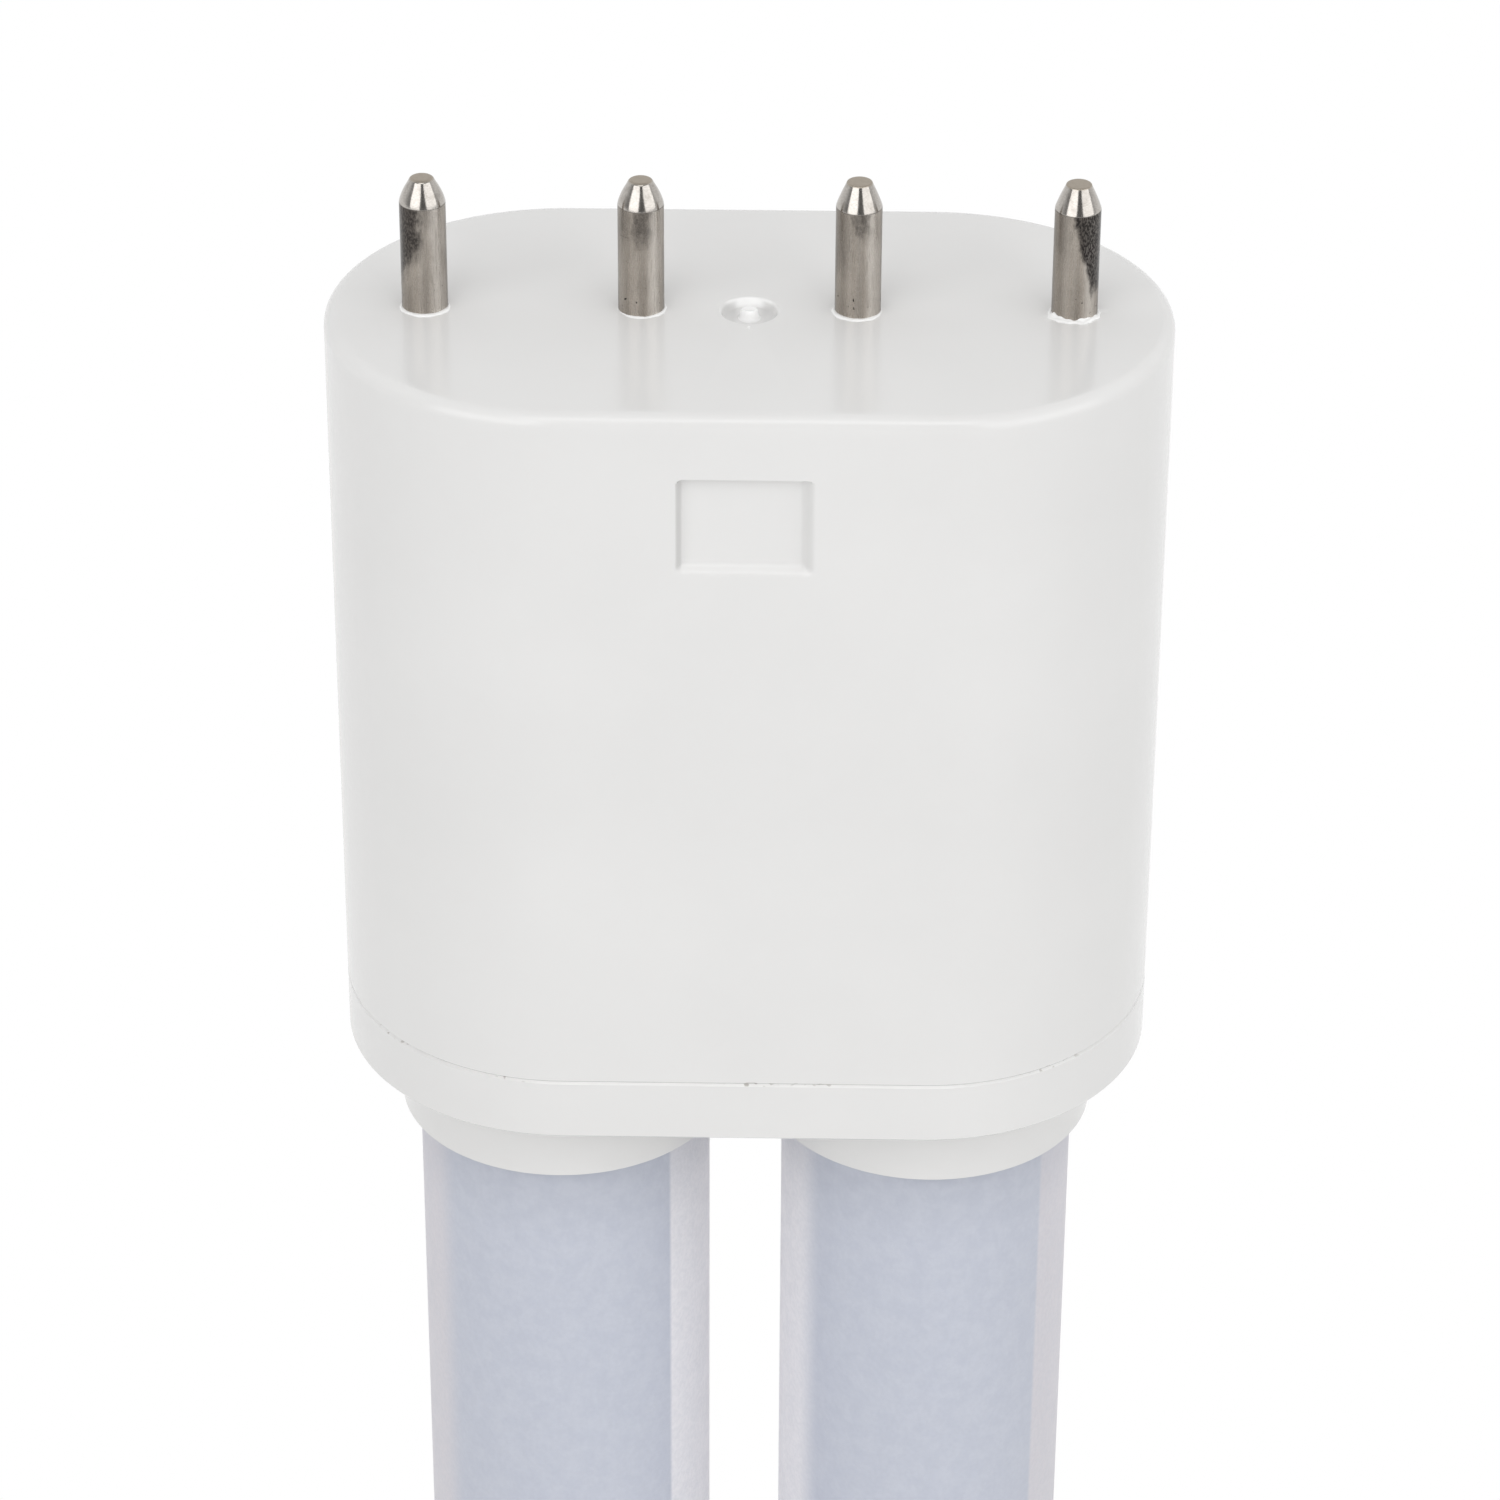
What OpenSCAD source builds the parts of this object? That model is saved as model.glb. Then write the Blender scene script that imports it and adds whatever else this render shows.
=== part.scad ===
// Twin-tube plug-in LED lamp with four round contact pins in one row.
// It stands on its far end, pins up. X runs along the pin row, the face with
// the camera side latch recess looks towards -Y, and Z runs along the tubes.
// Lengths are in millimetres. The origin is the middle of the flat far end.

/* [Whole lamp] */
// Length over everything, from the far end to the pin tips
lamp_l = 225.15; // [180:0.05:600]
// Gap between the two tubes
tube_gap = 4; // [3.2:0.1:6]

/* [Base cap] */
// Distance from the axis of an outer pin to the end of the cap
pin_to_end = 5.15; // [4.5:0.05:9]
// How far the cap reaches past a tube socket at each end
socket_to_end = 2.7; // [2:0.1:6]
// Depth of the cap at the pin face
cap_d = 24.2; // [23.4:0.1:30]
// Height of the cap from its seam to the pin face
cap_h = 39.5; // [39:0.1:60]
// Side wall of the cap
cap_wall = 1.6; // [1.2:0.1:2.2]
// Roof under the pin face
cap_roof = 2.0; // [1.4:0.1:3]
// Draft of the moulded walls, in degrees
cap_draft = 0.12; // [0:0.02:0.5]
// Radius round the edge of the pin face
face_edge_r = 0.7; // [0.3:0.1:1.2]
// Small bevel on each side of the seam
seam_bevel = 0.12; // [0.05:0.01:0.3]
// Wall of the sleeves inside the cap that hold the pins
boss_wall = 0.9; // [0.6:0.1:1.4]
// Length of those sleeves below the roof
boss_l = 5.0; // [3:0.1:6]
// Width of the raised ring round each pin
bead_w = 0.22; // [0.1:0.01:0.4]
// Height of that ring
bead_h = 0.12; // [0.05:0.01:0.3]

/* [Latch recess] */
// Width of the recess at the surface
recess_w = 6.95; // [4:0.05:10]
// Height of the recess at the surface
recess_h = 5.4; // [3:0.05:8]
// Depth of the recess
recess_depth = 0.5; // [0.2:0.05:0.8]
// Distance from the pin face to the top of the recess
recess_drop = 3.42; // [2:0.01:8]
// Radius of its corners
recess_corner = 0.4; // [0.1:0.05:1]
// Width of the slope at its left side
recess_slope_left = 0.4; // [0.1:0.05:1.2]
// Width of the slope at its right side
recess_slope_right = 0.75; // [0.1:0.05:1.2]
// Height of the slope at its foot
recess_slope_foot = 0.56; // [0.1:0.02:1.2]

/* [Gate mark] */
// Diameter of the dished gate mark
gate_d = 3.1; // [2:0.1:5]
// Depth of the dish
gate_depth = 0.45; // [0.2:0.05:0.8]
// Diameter of the pip left in the dish
gate_pip_d = 1.0; // [0.5:0.05:1.5]
// How far the gate mark lies in front of the pin row
gate_forward = 0.35; // [0:0.05:3]

/* [Contact pins] */
// Diameter of a pin
pin_d = 2.35; // [2.2:0.01:2.6]
// Length of a pin beyond the pin face
pin_l = 7.15; // [5:0.05:10]
// Distance between neighbouring pins
pin_pitch = 11.0; // [10.2:0.1:11.2]
// Length of the cone at the tip
pin_cone_l = 1.3; // [0.6:0.1:2]
// Diameter of the flat tip
pin_tip_d = 1.2; // [0.6:0.05:1.8]
// Small bevel between the cone and the flat tip
pin_tip_bevel = 0.1; // [0.02:0.01:0.2]
// Diameter in the locking groove just under the pin face
groove_d = 1.9; // [1.6:0.05:1.95]
// Width of the locking groove
groove_w = 0.8; // [0.6:0.05:1]
// Diameter of the stop flange under the sleeve
flange_d = 3.0; // [2.8:0.1:3.2]
// Thickness of the stop flange
flange_t = 0.8; // [0.5:0.1:1.2]
// Diameter of the solder cup
cup_d = 2.1; // [1.7:0.05:2.3]
// Length of the solder cup
cup_l = 3.0; // [2:0.1:4]

/* [Collar] */
// Height of the collar band below the seam
band_h = 3.5; // [2.5:0.1:6]
// Height of the tube sockets below the band
socket_h = 4.8; // [3:0.1:9]
// Wall of a tube socket
socket_wall = 0.89; // [0.7:0.01:1.4]
// Thickness left between a tube's end and the inside of the cap
collar_plate_t = 1.5; // [1:0.1:2]
// Wall of the lip that enters the cap
lip_wall = 1.3; // [1:0.1:1.8]
// Height of that lip above the seam
lip_h = 4.0; // [3:0.1:5]
// Width of each snap wedge on the lip
snap_w = 6.0; // [4:0.1:7]
// How far a snap wedge stands out
snap_reach = 0.5; // [0.3:0.05:0.7]
// Height of a snap wedge
snap_h = 1.4; // [1:0.1:2]
// Distance of the snap wedges from the middle of the cap
snap_off = 6.5; // [5:0.1:9]
// Width of the post that carries the driver board
post_w = 4.0; // [3:0.1:5]

/* [Tubes] */
// Outer diameter of a tube
tube_d = 16.0; // [15.5:0.1:16.8]
// Wall of a tube
tube_wall = 1.0; // [0.6:0.05:1.2]

/* [End bridge] */
// Height of the end bridge
bridge_h = 14.0; // [8:0.5:20]
// Wall round the tubes in the end bridge
bridge_wall = 1.3; // [1:0.1:2]
// Floor under the tubes
bridge_floor = 2.6; // [2:0.1:5]
// Radius round the foot of the end bridge
bridge_edge_r = 1.0; // [0.4:0.1:1.8]
// Bevel round the upper edge of the end bridge
bridge_bevel = 0.4; // [0.1:0.1:0.8]

/* [LED boards] */
// Thickness of an LED board
strip_t = 1.0; // [0.6:0.1:1.2]
// Distance from a tube's axis to the bare back of its LED board, which faces the front
strip_back = 3.05; // [2:0.05:4]
// How far an LED board reaches above the collar
strip_reach = 5.5; // [4:0.1:6]
// Depth of the slot that holds its lower end
strip_seat = 1.2; // [0.6:0.1:1.6]
// Distance between neighbouring LEDs
led_pitch = 8.0; // [5:0.1:20]
// Size of an LED package across the board
led_w = 3.5; // [2:0.1:5]
// Size of an LED package along the board
led_l = 2.8; // [2:0.1:4]
// Height of an LED package
led_t = 0.7; // [0.5:0.1:1.5]
// Diameter of the round window in an LED package
led_window_d = 2.2; // [1:0.1:2.5]

/* [Driver board] */
// Distance from each end of the cap to the edge of the driver board
board_side = 3.4; // [3.1:0.1:4.4]
// Thickness of the driver board
board_t = 1.0; // [0.8:0.1:1.6]
// Distance from the pin row to the front of the driver board
board_front = 2.5; // [2.3:0.1:3]
// Distance from the seam to the lower edge of the driver board
board_rise = 7.0; // [6.5:0.1:9]
// Gap between the driver board and the roof of the cap
board_headroom = 3.5; // [2:0.1:5]
// How far the guide ribs grip over the edge of the board
board_grip = 0.8; // [0.5:0.1:1]
// Thickness of the guide ribs
rib_t = 1.0; // [0.8:0.1:1.4]

/* [Parts on the driver board] */
// Diameter of the fuse resistor
fuse_d = 3.0; // [2:0.1:3.4]
// Length of the fuse resistor
fuse_l = 7.5; // [5:0.1:8]
// Diameter of the varistor disc
varistor_d = 7.0; // [5:0.1:7.4]
// Thickness of the varistor disc
varistor_t = 3.6; // [2:0.1:3.8]
// Width of the film capacitor
film_w = 4.8; // [3:0.1:5]
// Height of the film capacitor along the board
film_h = 10.2; // [8.5:0.1:10.8]
// How far the film capacitor stands off the board
film_depth = 9.0; // [6:0.1:9.5]
// Diameter of the input choke
choke_d = 6.3; // [4:0.1:6.5]
// How far the input choke stands off the board
choke_l = 7.5; // [5:0.1:9]
// Width of the bridge rectifier
rectifier_w = 4.7; // [3:0.1:4.8]
// Height of the bridge rectifier along the board
rectifier_h = 3.9; // [3:0.1:4.2]
// Diameter of the bulk capacitor
bulk_d = 7.4; // [5:0.1:7.6]
// Length of the bulk capacitor
bulk_l = 9.5; // [7:0.1:9.6]
// Diameter of the output capacitor
output_d = 6.2; // [4:0.1:6.3]
// Length of the output capacitor
output_l = 8.4; // [6:0.1:8.8]
// Width of the transformer core
core_w = 8.8; // [8:0.1:8.8]
// Height of the transformer core along the board
core_h = 8.4; // [8:0.1:8.6]
// Thickness of the transformer core
core_t = 4.6; // [4:0.1:5]
// Width of the controller chip
chip_w = 4.9; // [4:0.1:5]
// Height of the controller chip along the board
chip_h = 3.9; // [3:0.1:4]
// Number of chip resistors on the back of the board
resistor_count = 6; // [1:1:7]

/* [Wires] */
// Diameter of a wire
wire_d = 0.9; // [0.5:0.05:1]
// Diameter of a component lead
lead_d = 0.6; // [0.4:0.05:0.7]
// How far a component lead stands out behind the board
lead_tail = 1.0; // [0.5:0.1:1.5]

/* [Fits] */
// Gap round a pin in its sleeve
pin_clear = 0.02; // [0.01:0.01:0.05]
// Gap round a tube in its sockets
tube_clear = 0.06; // [0.03:0.01:0.1]
// Gap between a tube's end and its stop
tube_end_clear = 0.05; // [0.02:0.01:0.1]
// Gap between the collar's lip and the cap
lip_clear = 0.08; // [0.05:0.01:0.15]
// Gap round a snap wedge in its pocket
snap_clear = 0.15; // [0.1:0.01:0.2]
// Gap beside a board in its slot
board_clear = 0.08; // [0.05:0.01:0.15]
// Gap round a wire or a lead in its hole
hole_clear = 0.1; // [0.05:0.01:0.15]
// Gap between neighbouring parts of the transformer
core_clear = 0.05; // [0.03:0.01:0.1]

/* [Hidden] */

// Roundness of large and small round forms
fine = 128;
small = 48;
// Overlap that keeps a cut clear of the face it goes through
cut = 1;

// Heights of the main faces
face_z = lamp_l - pin_l;
seam_z = face_z - cap_h;
band_z = seam_z - band_h;
socket_z = band_z - socket_h;
roof_z = face_z - cap_roof;
tube_top_z = seam_z - collar_plate_t - tube_end_clear;
tube_foot_z = bridge_floor + tube_end_clear;

// The cap is wide enough for the row of four pins and for the two tube sockets
tube_pitch = tube_d + tube_gap;
socket_d = tube_d + 2 * (tube_clear + socket_wall);
pin_gaps = 3;
cap_w = max(pin_gaps * pin_pitch + 2 * pin_to_end, tube_pitch + socket_d + 2 * socket_to_end);

// The cap's outline is a straight run between two round ends
cap_run = cap_w - cap_d;
end_r = cap_d / 2;
bridge_r = tube_d / 2 + tube_clear + bridge_wall;

// Driver board and the rows of parts on it, measured from its lower edge
board_w = cap_w - 2 * board_side;
board_z = seam_z + board_rise;
board_top_z = roof_z - board_headroom;
board_back = board_front + board_t;
led_hole_rise = 1.1;

// Places of the parts on the board: across, then up from the lower edge.
// The tall parts stand between the pins, clear of the solder cups: varistor
// and film capacitor side by side, then transformer and output capacitor.
part_gap = 0.25;
wire_top = led_hole_rise + wire_d / 2;
pair_w = varistor_t + part_gap + film_w;
varistor_at = [pin_x(0.5) - (pair_w - varistor_t) / 2, 13.0];
film_at = [pin_x(0.5) + (pair_w - film_w) / 2, wire_top + 3 * part_gap + film_h / 2];
transformer_at = [pin_x(1.5), 13.2];
output_at = [pin_x(2.5), wire_top + part_gap + bulk_d + 3 * part_gap + output_d / 2];

// The other parts stand in the row below them, between the guide ribs
row_w = board_w - 2 * board_grip;
row_x0 = film_at[0] + film_w / 2;
row_gap = (row_w / 2 - row_x0 - rectifier_w - choke_d - bulk_d) / 4;
fuse_at = [(film_at[0] - film_w / 2 - row_w / 2) / 2, 4.4];
rectifier_at = [row_x0 + row_gap + rectifier_w / 2, 6.0];
choke_at = [rectifier_at[0] + (rectifier_w + choke_d) / 2 + row_gap, wire_top + part_gap + choke_d / 2];
bulk_at = [row_w / 2 - row_gap - bulk_d / 2, wire_top + part_gap + bulk_d / 2];

// Parts on the back of the board, clear of the leads that come through
controller_at = rectifier_at;
diode_at = [choke_at[0] + (choke_d + row_gap) / 2, bulk_at[1]];
resistor_at = [-9.0, 16.6];
resistor_step = 3.2;

// Pitches of the leads of each part
fuse_lead_gap = 2.6;
varistor_lead_gap = 5.0;
film_lead_gap = 7.5;
choke_lead_gap = 3.5;
can_lead_gap = 2.5;
bobbin_lead_gap = 5.0;

// Transformer: the core's back and legs, the windows beside its middle leg,
// and the bobbin whose flanges close those windows above and below
core_back_t = 1.6;
core_leg_w = 1.3;
core_mid_w = 2.6;
core_stand = 2.6;
core_y = board_front - core_stand - core_t / 2;
window_w = (core_w - core_mid_w) / 2 - core_leg_w;
window_h = core_h - 2 * core_back_t;
bobbin_skin = 0.45;
bobbin_flange_t = 0.6;
flange_half_w = core_mid_w / 2 + window_w - core_clear;
flange_half_d = 4.3;
bobbin_pin_rise = window_h / 2 - core_clear - bobbin_flange_t / 2;
winding_inset = 0.35;
winding_corner = 1.2;

// Pins
boss_end_z = roof_z - boss_l;
flange_z = boss_end_z - flange_t;
cup_z = flange_z - cup_l;
groove_z = face_z - groove_w;
cup_bore_d = wire_d + 4 * hole_clear;
cup_bore_l = 2.2;
pin_hole_drop = 2.7;
pin_hole_z = cup_z - pin_hole_drop;

// LED boards
strip_w = 2 * sqrt(pow(tube_d / 2 - tube_wall - board_clear, 2) - pow(strip_back, 2));
strip_back_y = -strip_back;
strip_led_y = strip_back_y + strip_t;
strip_top_z = seam_z + strip_reach;
strip_foot_z = bridge_floor - strip_seat + tube_end_clear;
strip_hole_z = strip_top_z - 2.0;
strip_hole_off = 2.0;
led_first_z = bridge_h + led_l;
led_last_z = socket_z - led_l;
led_count = floor((led_last_z - led_first_z) / led_pitch) + 1;

function pin_x(i) = (i - pin_gaps / 2) * pin_pitch;

// Distance from the cap's spine to its drafted outside at height z. The draft
// starts under the rounded edge of the pin face.
function outside(z) = end_r + max(0, face_z - face_edge_r - z) * tan(cap_draft);
function cap_inside(z) = outside(z) - cap_wall;

// A body whose outline is a straight run with two round ends. The profile
// gives the distance from the spine along x and the height along y.
module round_ended(run) {
    for (side = [-1, 1])
        translate([side * run / 2, 0, 0])
            rotate([0, 0, side * -90])
                rotate_extrude(angle = 180, $fn = fine) children();
    rotate([90, 0, 90])
        translate([0, 0, -run / 2])
            linear_extrude(run) {
                children();
                mirror([1, 0]) children();
            }
}

// A flat block from x, y and z ranges
module block(xs, ys, zs) {
    translate([xs[0], ys[0], zs[0]])
        cube([xs[1] - xs[0], ys[1] - ys[0], zs[1] - zs[0]]);
}

// Turned stock standing on the front of the driver board
module on_board(at) {
    translate([at[0], board_front, board_z + at[1]]) rotate([90, 0, 0]) children();
}

// Leads straight through the board, one on each side of the middle
module lead_pair(at, gap, along_board, stand_off = 0) {
    for (side = [-1, 1])
        translate([
            at[0] + (along_board ? 0 : side * gap / 2),
            board_back + lead_tail,
            board_z + at[1] + (along_board ? side * gap / 2 : 0)
        ])
            rotate([90, 0, 0])
                cylinder(d = lead_d, h = board_t + lead_tail + stand_off, $fn = small);
}

module cap_profile() {
    edge_x = end_r - face_edge_r;
    edge_z = face_z - face_edge_r;
    polygon([
        [0, seam_z],
        [outside(seam_z) - seam_bevel, seam_z],
        [outside(seam_z + seam_bevel), seam_z + seam_bevel],
        [end_r, edge_z],
        [edge_x, face_z],
        [0, face_z]
    ]);
    translate([edge_x, edge_z]) circle(r = face_edge_r, $fn = small);
}

module cavity_profile() {
    polygon([
        [0, seam_z - cut],
        [cap_inside(seam_z - cut), seam_z - cut],
        [cap_inside(roof_z), roof_z],
        [0, roof_z]
    ]);
}

// One latch recess: an upright opening with rounded corners, whose floor
// rises to the surface at both sides and at the foot
module recess_cutter() {
    top_z = face_z - recess_drop;
    foot_z = top_z - recess_h;
    left_x = -recess_w / 2;
    right_x = recess_w / 2;
    wall_y = -outside(foot_z);
    intersection() {
        translate([0, wall_y + recess_depth + cut, 0])
            rotate([90, 0, 0])
                linear_extrude(recess_depth + 2 * cut)
                    rounded_panel(left_x, right_x, foot_z, top_z, recess_corner);
        translate([0, 0, foot_z - cut])
            linear_extrude(recess_h + 2 * cut)
                polygon([
                    [left_x - recess_slope_left, wall_y - recess_depth],
                    [left_x + recess_slope_left, wall_y + recess_depth],
                    [right_x - recess_slope_right, wall_y + recess_depth],
                    [right_x + recess_slope_right, wall_y - recess_depth]
                ]);
        translate([left_x - cut, 0, 0])
            rotate([90, 0, 90])
                linear_extrude(recess_w + 2 * cut)
                    polygon([
                        [wall_y - recess_depth, foot_z - recess_slope_foot],
                        [wall_y + recess_depth, foot_z + recess_slope_foot],
                        [wall_y + recess_depth, top_z + cut],
                        [wall_y - recess_depth, top_z + cut]
                    ]);
    }
}

// Flat rectangle with round corners
module rounded_panel(x0, x1, y0, y1, r) {
    translate([x0 + r, y0]) square([x1 - x0 - 2 * r, y1 - y0]);
    translate([x0, y0 + r]) square([x1 - x0, y1 - y0 - 2 * r]);
    for (x = [x0 + r, x1 - r], y = [y0 + r, y1 - r])
        translate([x, y]) circle(r = r, $fn = small);
}

module gate_dish() {
    dish_r = (pow(gate_d / 2, 2) + pow(gate_depth, 2)) / (2 * gate_depth);
    translate([0, -gate_forward, face_z])
        difference() {
            translate([0, 0, dish_r - gate_depth]) sphere(r = dish_r, $fn = small);
            translate([0, 0, -gate_depth - cut])
                cylinder(d1 = gate_pip_d + gate_depth, d2 = gate_pip_d,
                         h = gate_depth + cut, $fn = small);
        }
}

// Ribs at one end of the cap that hold the edge of the driver board
module guide_rib(side) {
    slot_y0 = board_front - board_clear;
    slot_y1 = board_back + board_clear;
    inner_x = board_w / 2 - board_grip;
    foot_z = board_z - board_grip;
    difference() {
        mirror([side < 0 ? 1 : 0, 0, 0])
            block([inner_x, cap_w / 2], [slot_y0 - rib_t, slot_y1 + rib_t], [foot_z, roof_z + cut]);
        mirror([side < 0 ? 1 : 0, 0, 0])
            block([inner_x - cut, board_w / 2 + board_clear], [slot_y0, slot_y1],
                  [foot_z - cut, board_top_z + board_clear]);
    }
}

// Bore for a pin, with the ring of plastic that fills the pin's locking groove
module pin_bore(i) {
    bore_d = pin_d + 2 * pin_clear;
    translate([pin_x(i), 0, 0]) {
        translate([0, 0, boss_end_z - cut])
            cylinder(d = bore_d, h = groove_z + pin_clear - boss_end_z + cut, $fn = small);
        translate([0, 0, groove_z - cut])
            cylinder(d = groove_d + 2 * pin_clear, h = groove_w + 2 * cut, $fn = small);
        translate([0, 0, face_z - pin_clear])
            cylinder(d = bore_d, h = bead_h + cut, $fn = small);
    }
}

module base_cap() {
    pocket_d = snap_reach + snap_clear;
    pocket_z0 = seam_z + lip_h - snap_h - snap_clear;
    pocket_z1 = seam_z + lip_h + snap_clear;
    color("white")
    difference() {
        union() {
            difference() {
                round_ended(cap_run) cap_profile();
                round_ended(cap_run) cavity_profile();
            }
            intersection() {
                union() {
                    for (side = [-1, 1]) guide_rib(side);
                    for (i = [0 : 3])
                        translate([pin_x(i), 0, boss_end_z])
                            cylinder(d = pin_d + 2 * boss_wall, h = boss_l + cap_roof / 2, $fn = small);
                }
                round_ended(cap_run) cap_profile();
            }
            for (i = [0 : 3])
                translate([pin_x(i), 0, face_z - cap_roof / 2])
                    cylinder(d = pin_d + 2 * bead_w, h = cap_roof / 2 + bead_h, $fn = small);
        }
        for (i = [0 : 3]) pin_bore(i);
        for (turn = [0, 180]) rotate([0, 0, turn]) recess_cutter();
        gate_dish();
        for (turn = [0, 180], x = [-snap_off, snap_off])
            rotate([0, 0, turn])
                block([x - snap_w / 2 - snap_clear, x + snap_w / 2 + snap_clear],
                      [-cap_inside(seam_z) - pocket_d, -cap_inside(seam_z) + cut],
                      [pocket_z0, pocket_z1]);
    }
}

module collar_profile() {
    polygon([
        [0, band_z],
        [outside(band_z) - seam_bevel, band_z],
        [outside(band_z + seam_bevel), band_z + seam_bevel],
        [outside(seam_z - seam_bevel), seam_z - seam_bevel],
        [outside(seam_z) - seam_bevel, seam_z],
        [0, seam_z]
    ]);
}

// The lip keeps the same gap to the drafted inside of the cap at any height
module lip_profile() {
    tip_z = seam_z + lip_h;
    polygon([
        [cap_inside(seam_z) - lip_clear - lip_wall, seam_z - collar_plate_t / 2],
        [cap_inside(seam_z) - lip_clear, seam_z - collar_plate_t / 2],
        [cap_inside(seam_z) - lip_clear, seam_z],
        [cap_inside(tip_z) - lip_clear, tip_z - seam_bevel],
        [cap_inside(tip_z) - lip_clear - seam_bevel, tip_z],
        [cap_inside(tip_z) - lip_clear - lip_wall, tip_z]
    ]);
}

// Snap wedge on the front of the lip: flat on its lower side, sloping above
module snap_wedge(x) {
    face_y = -cap_inside(seam_z + lip_h) + lip_clear;
    translate([x - snap_w / 2, 0, 0])
        rotate([90, 0, 90])
            linear_extrude(snap_w)
                polygon([
                    [face_y + lip_wall / 2, seam_z + lip_h - snap_h],
                    [face_y - snap_reach, seam_z + lip_h - snap_h],
                    [face_y - snap_reach, seam_z + lip_h - snap_h / 2],
                    [face_y, seam_z + lip_h],
                    [face_y + lip_wall / 2, seam_z + lip_h]
                ]);
}

// Slot that an LED board passes through or stands in
module strip_slot(z0, z1) {
    block([-strip_w / 2 - board_clear, strip_w / 2 + board_clear],
          [strip_back_y - board_clear, strip_led_y + board_clear], [z0, z1]);
}

module base_collar() {
    slot_y0 = board_front - board_clear;
    slot_y1 = board_back + board_clear;
    color("white")
    difference() {
        union() {
            round_ended(cap_run) collar_profile();
            round_ended(cap_run) lip_profile();
            for (turn = [0, 180], x = [-snap_off, snap_off])
                rotate([0, 0, turn]) snap_wedge(x);
            for (side = [-1, 1])
                translate([side * tube_pitch / 2, 0, socket_z])
                    cylinder(d = socket_d, h = socket_h + band_h / 2, $fn = fine);
            block([-post_w / 2, post_w / 2], [slot_y0 - rib_t, slot_y1 + rib_t],
                  [seam_z - collar_plate_t / 2, board_z + board_grip]);
        }
        for (side = [-1, 1]) {
            translate([side * tube_pitch / 2, 0, socket_z - cut])
                cylinder(d = tube_d + 2 * tube_clear,
                         h = seam_z - collar_plate_t - socket_z + cut, $fn = fine);
            translate([side * tube_pitch / 2, 0, socket_z])
                cylinder(d1 = tube_d + 2 * tube_clear + 2 * seam_bevel, d2 = tube_d,
                         h = seam_bevel + tube_clear, $fn = fine);
            translate([side * tube_pitch / 2, 0, 0])
                strip_slot(seam_z - collar_plate_t - cut, seam_z + cut);
        }
        block([-post_w / 2 - cut, post_w / 2 + cut], [slot_y0, slot_y1],
              [board_z, board_z + board_grip + cut]);
    }
}

module contact_pin(i) {
    shank_r = pin_d / 2;
    tip_r = pin_tip_d / 2;
    color("silver")
    translate([pin_x(i), 0, 0])
        difference() {
            rotate_extrude($fn = small)
                polygon([
                    [0, cup_z],
                    [cup_d / 2, cup_z],
                    [cup_d / 2, flange_z],
                    [flange_d / 2, flange_z],
                    [flange_d / 2, boss_end_z],
                    [shank_r, boss_end_z],
                    [shank_r, groove_z],
                    [groove_d / 2, groove_z],
                    [groove_d / 2, face_z],
                    [shank_r, face_z],
                    [shank_r, lamp_l - pin_cone_l],
                    [tip_r, lamp_l - pin_tip_bevel],
                    [tip_r - pin_tip_bevel, lamp_l],
                    [0, lamp_l]
                ]);
            translate([0, 0, cup_z - cut])
                cylinder(d = cup_bore_d, h = cup_bore_l + cut, $fn = small);
        }
}

// Points along a rounded corner from a to b
function bend(a, corner, b, steps = 5) = [
    for (i = [0 : steps])
        let(t = i / steps)
            pow(1 - t, 2) * a + 2 * t * (1 - t) * corner + pow(t, 2) * b
];

function along(path, i) =
    let(step = path[min(i + 1, len(path) - 1)] - path[max(i - 1, 0)]) step / norm(step);

function wire_ring(path, i, r, sides) =
    let(side_axis = cross([1, 0, 0], along(path, i)))
        [for (k = [0 : sides - 1])
            path[i] + r * (cos(360 * k / sides) * [1, 0, 0] + sin(360 * k / sides) * side_axis)];

// A round wire that follows a path in one plane of constant x
module wire_along(path) {
    sides = 8;
    last = len(path) - 1;
    polyhedron(
        points = [for (i = [0 : last]) each wire_ring(path, i, wire_d / 2, sides)],
        faces = concat(
            [[for (k = [sides - 1 : -1 : 0]) k]],
            [for (i = [0 : last - 1], k = [0 : sides - 1])
                [i * sides + k, i * sides + (k + 1) % sides,
                 (i + 1) * sides + (k + 1) % sides, (i + 1) * sides + k]],
            [[for (k = [0 : sides - 1]) last * sides + k]]
        )
    );
}

// From a solder cup down and back through the driver board
module pin_lead(i) {
    x = pin_x(i);
    turn = 1.4;
    color("ivory")
    wire_along(concat(
        [[x, 0, cup_z + cup_bore_l - hole_clear]],
        bend([x, 0, pin_hole_z + turn], [x, 0, pin_hole_z], [x, turn, pin_hole_z]),
        [[x, board_back + lead_tail, pin_hole_z]]
    ));
}

// From an LED board up and back through the driver board
module led_lead(x, tint) {
    turn = 1.2;
    rise_y = strip_led_y + 1.6;
    from_z = strip_hole_z;
    to_z = board_z + led_hole_rise;
    color(tint)
    wire_along(concat(
        [[x, strip_back_y + hole_clear, from_z]],
        bend([x, rise_y - turn, from_z], [x, rise_y, from_z], [x, rise_y, from_z + turn]),
        bend([x, rise_y, to_z - turn], [x, rise_y, to_z], [x, rise_y + turn, to_z]),
        [[x, board_back + lead_tail, to_z]]
    ));
}

module tube(side) {
    color("lightsteelblue")
    translate([side * tube_pitch / 2, 0, tube_foot_z])
        difference() {
            cylinder(d = tube_d, h = tube_top_z - tube_foot_z, $fn = fine);
            translate([0, 0, -cut])
                cylinder(d = tube_d - 2 * tube_wall, h = tube_top_z - tube_foot_z + 2 * cut, $fn = fine);
        }
}

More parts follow.
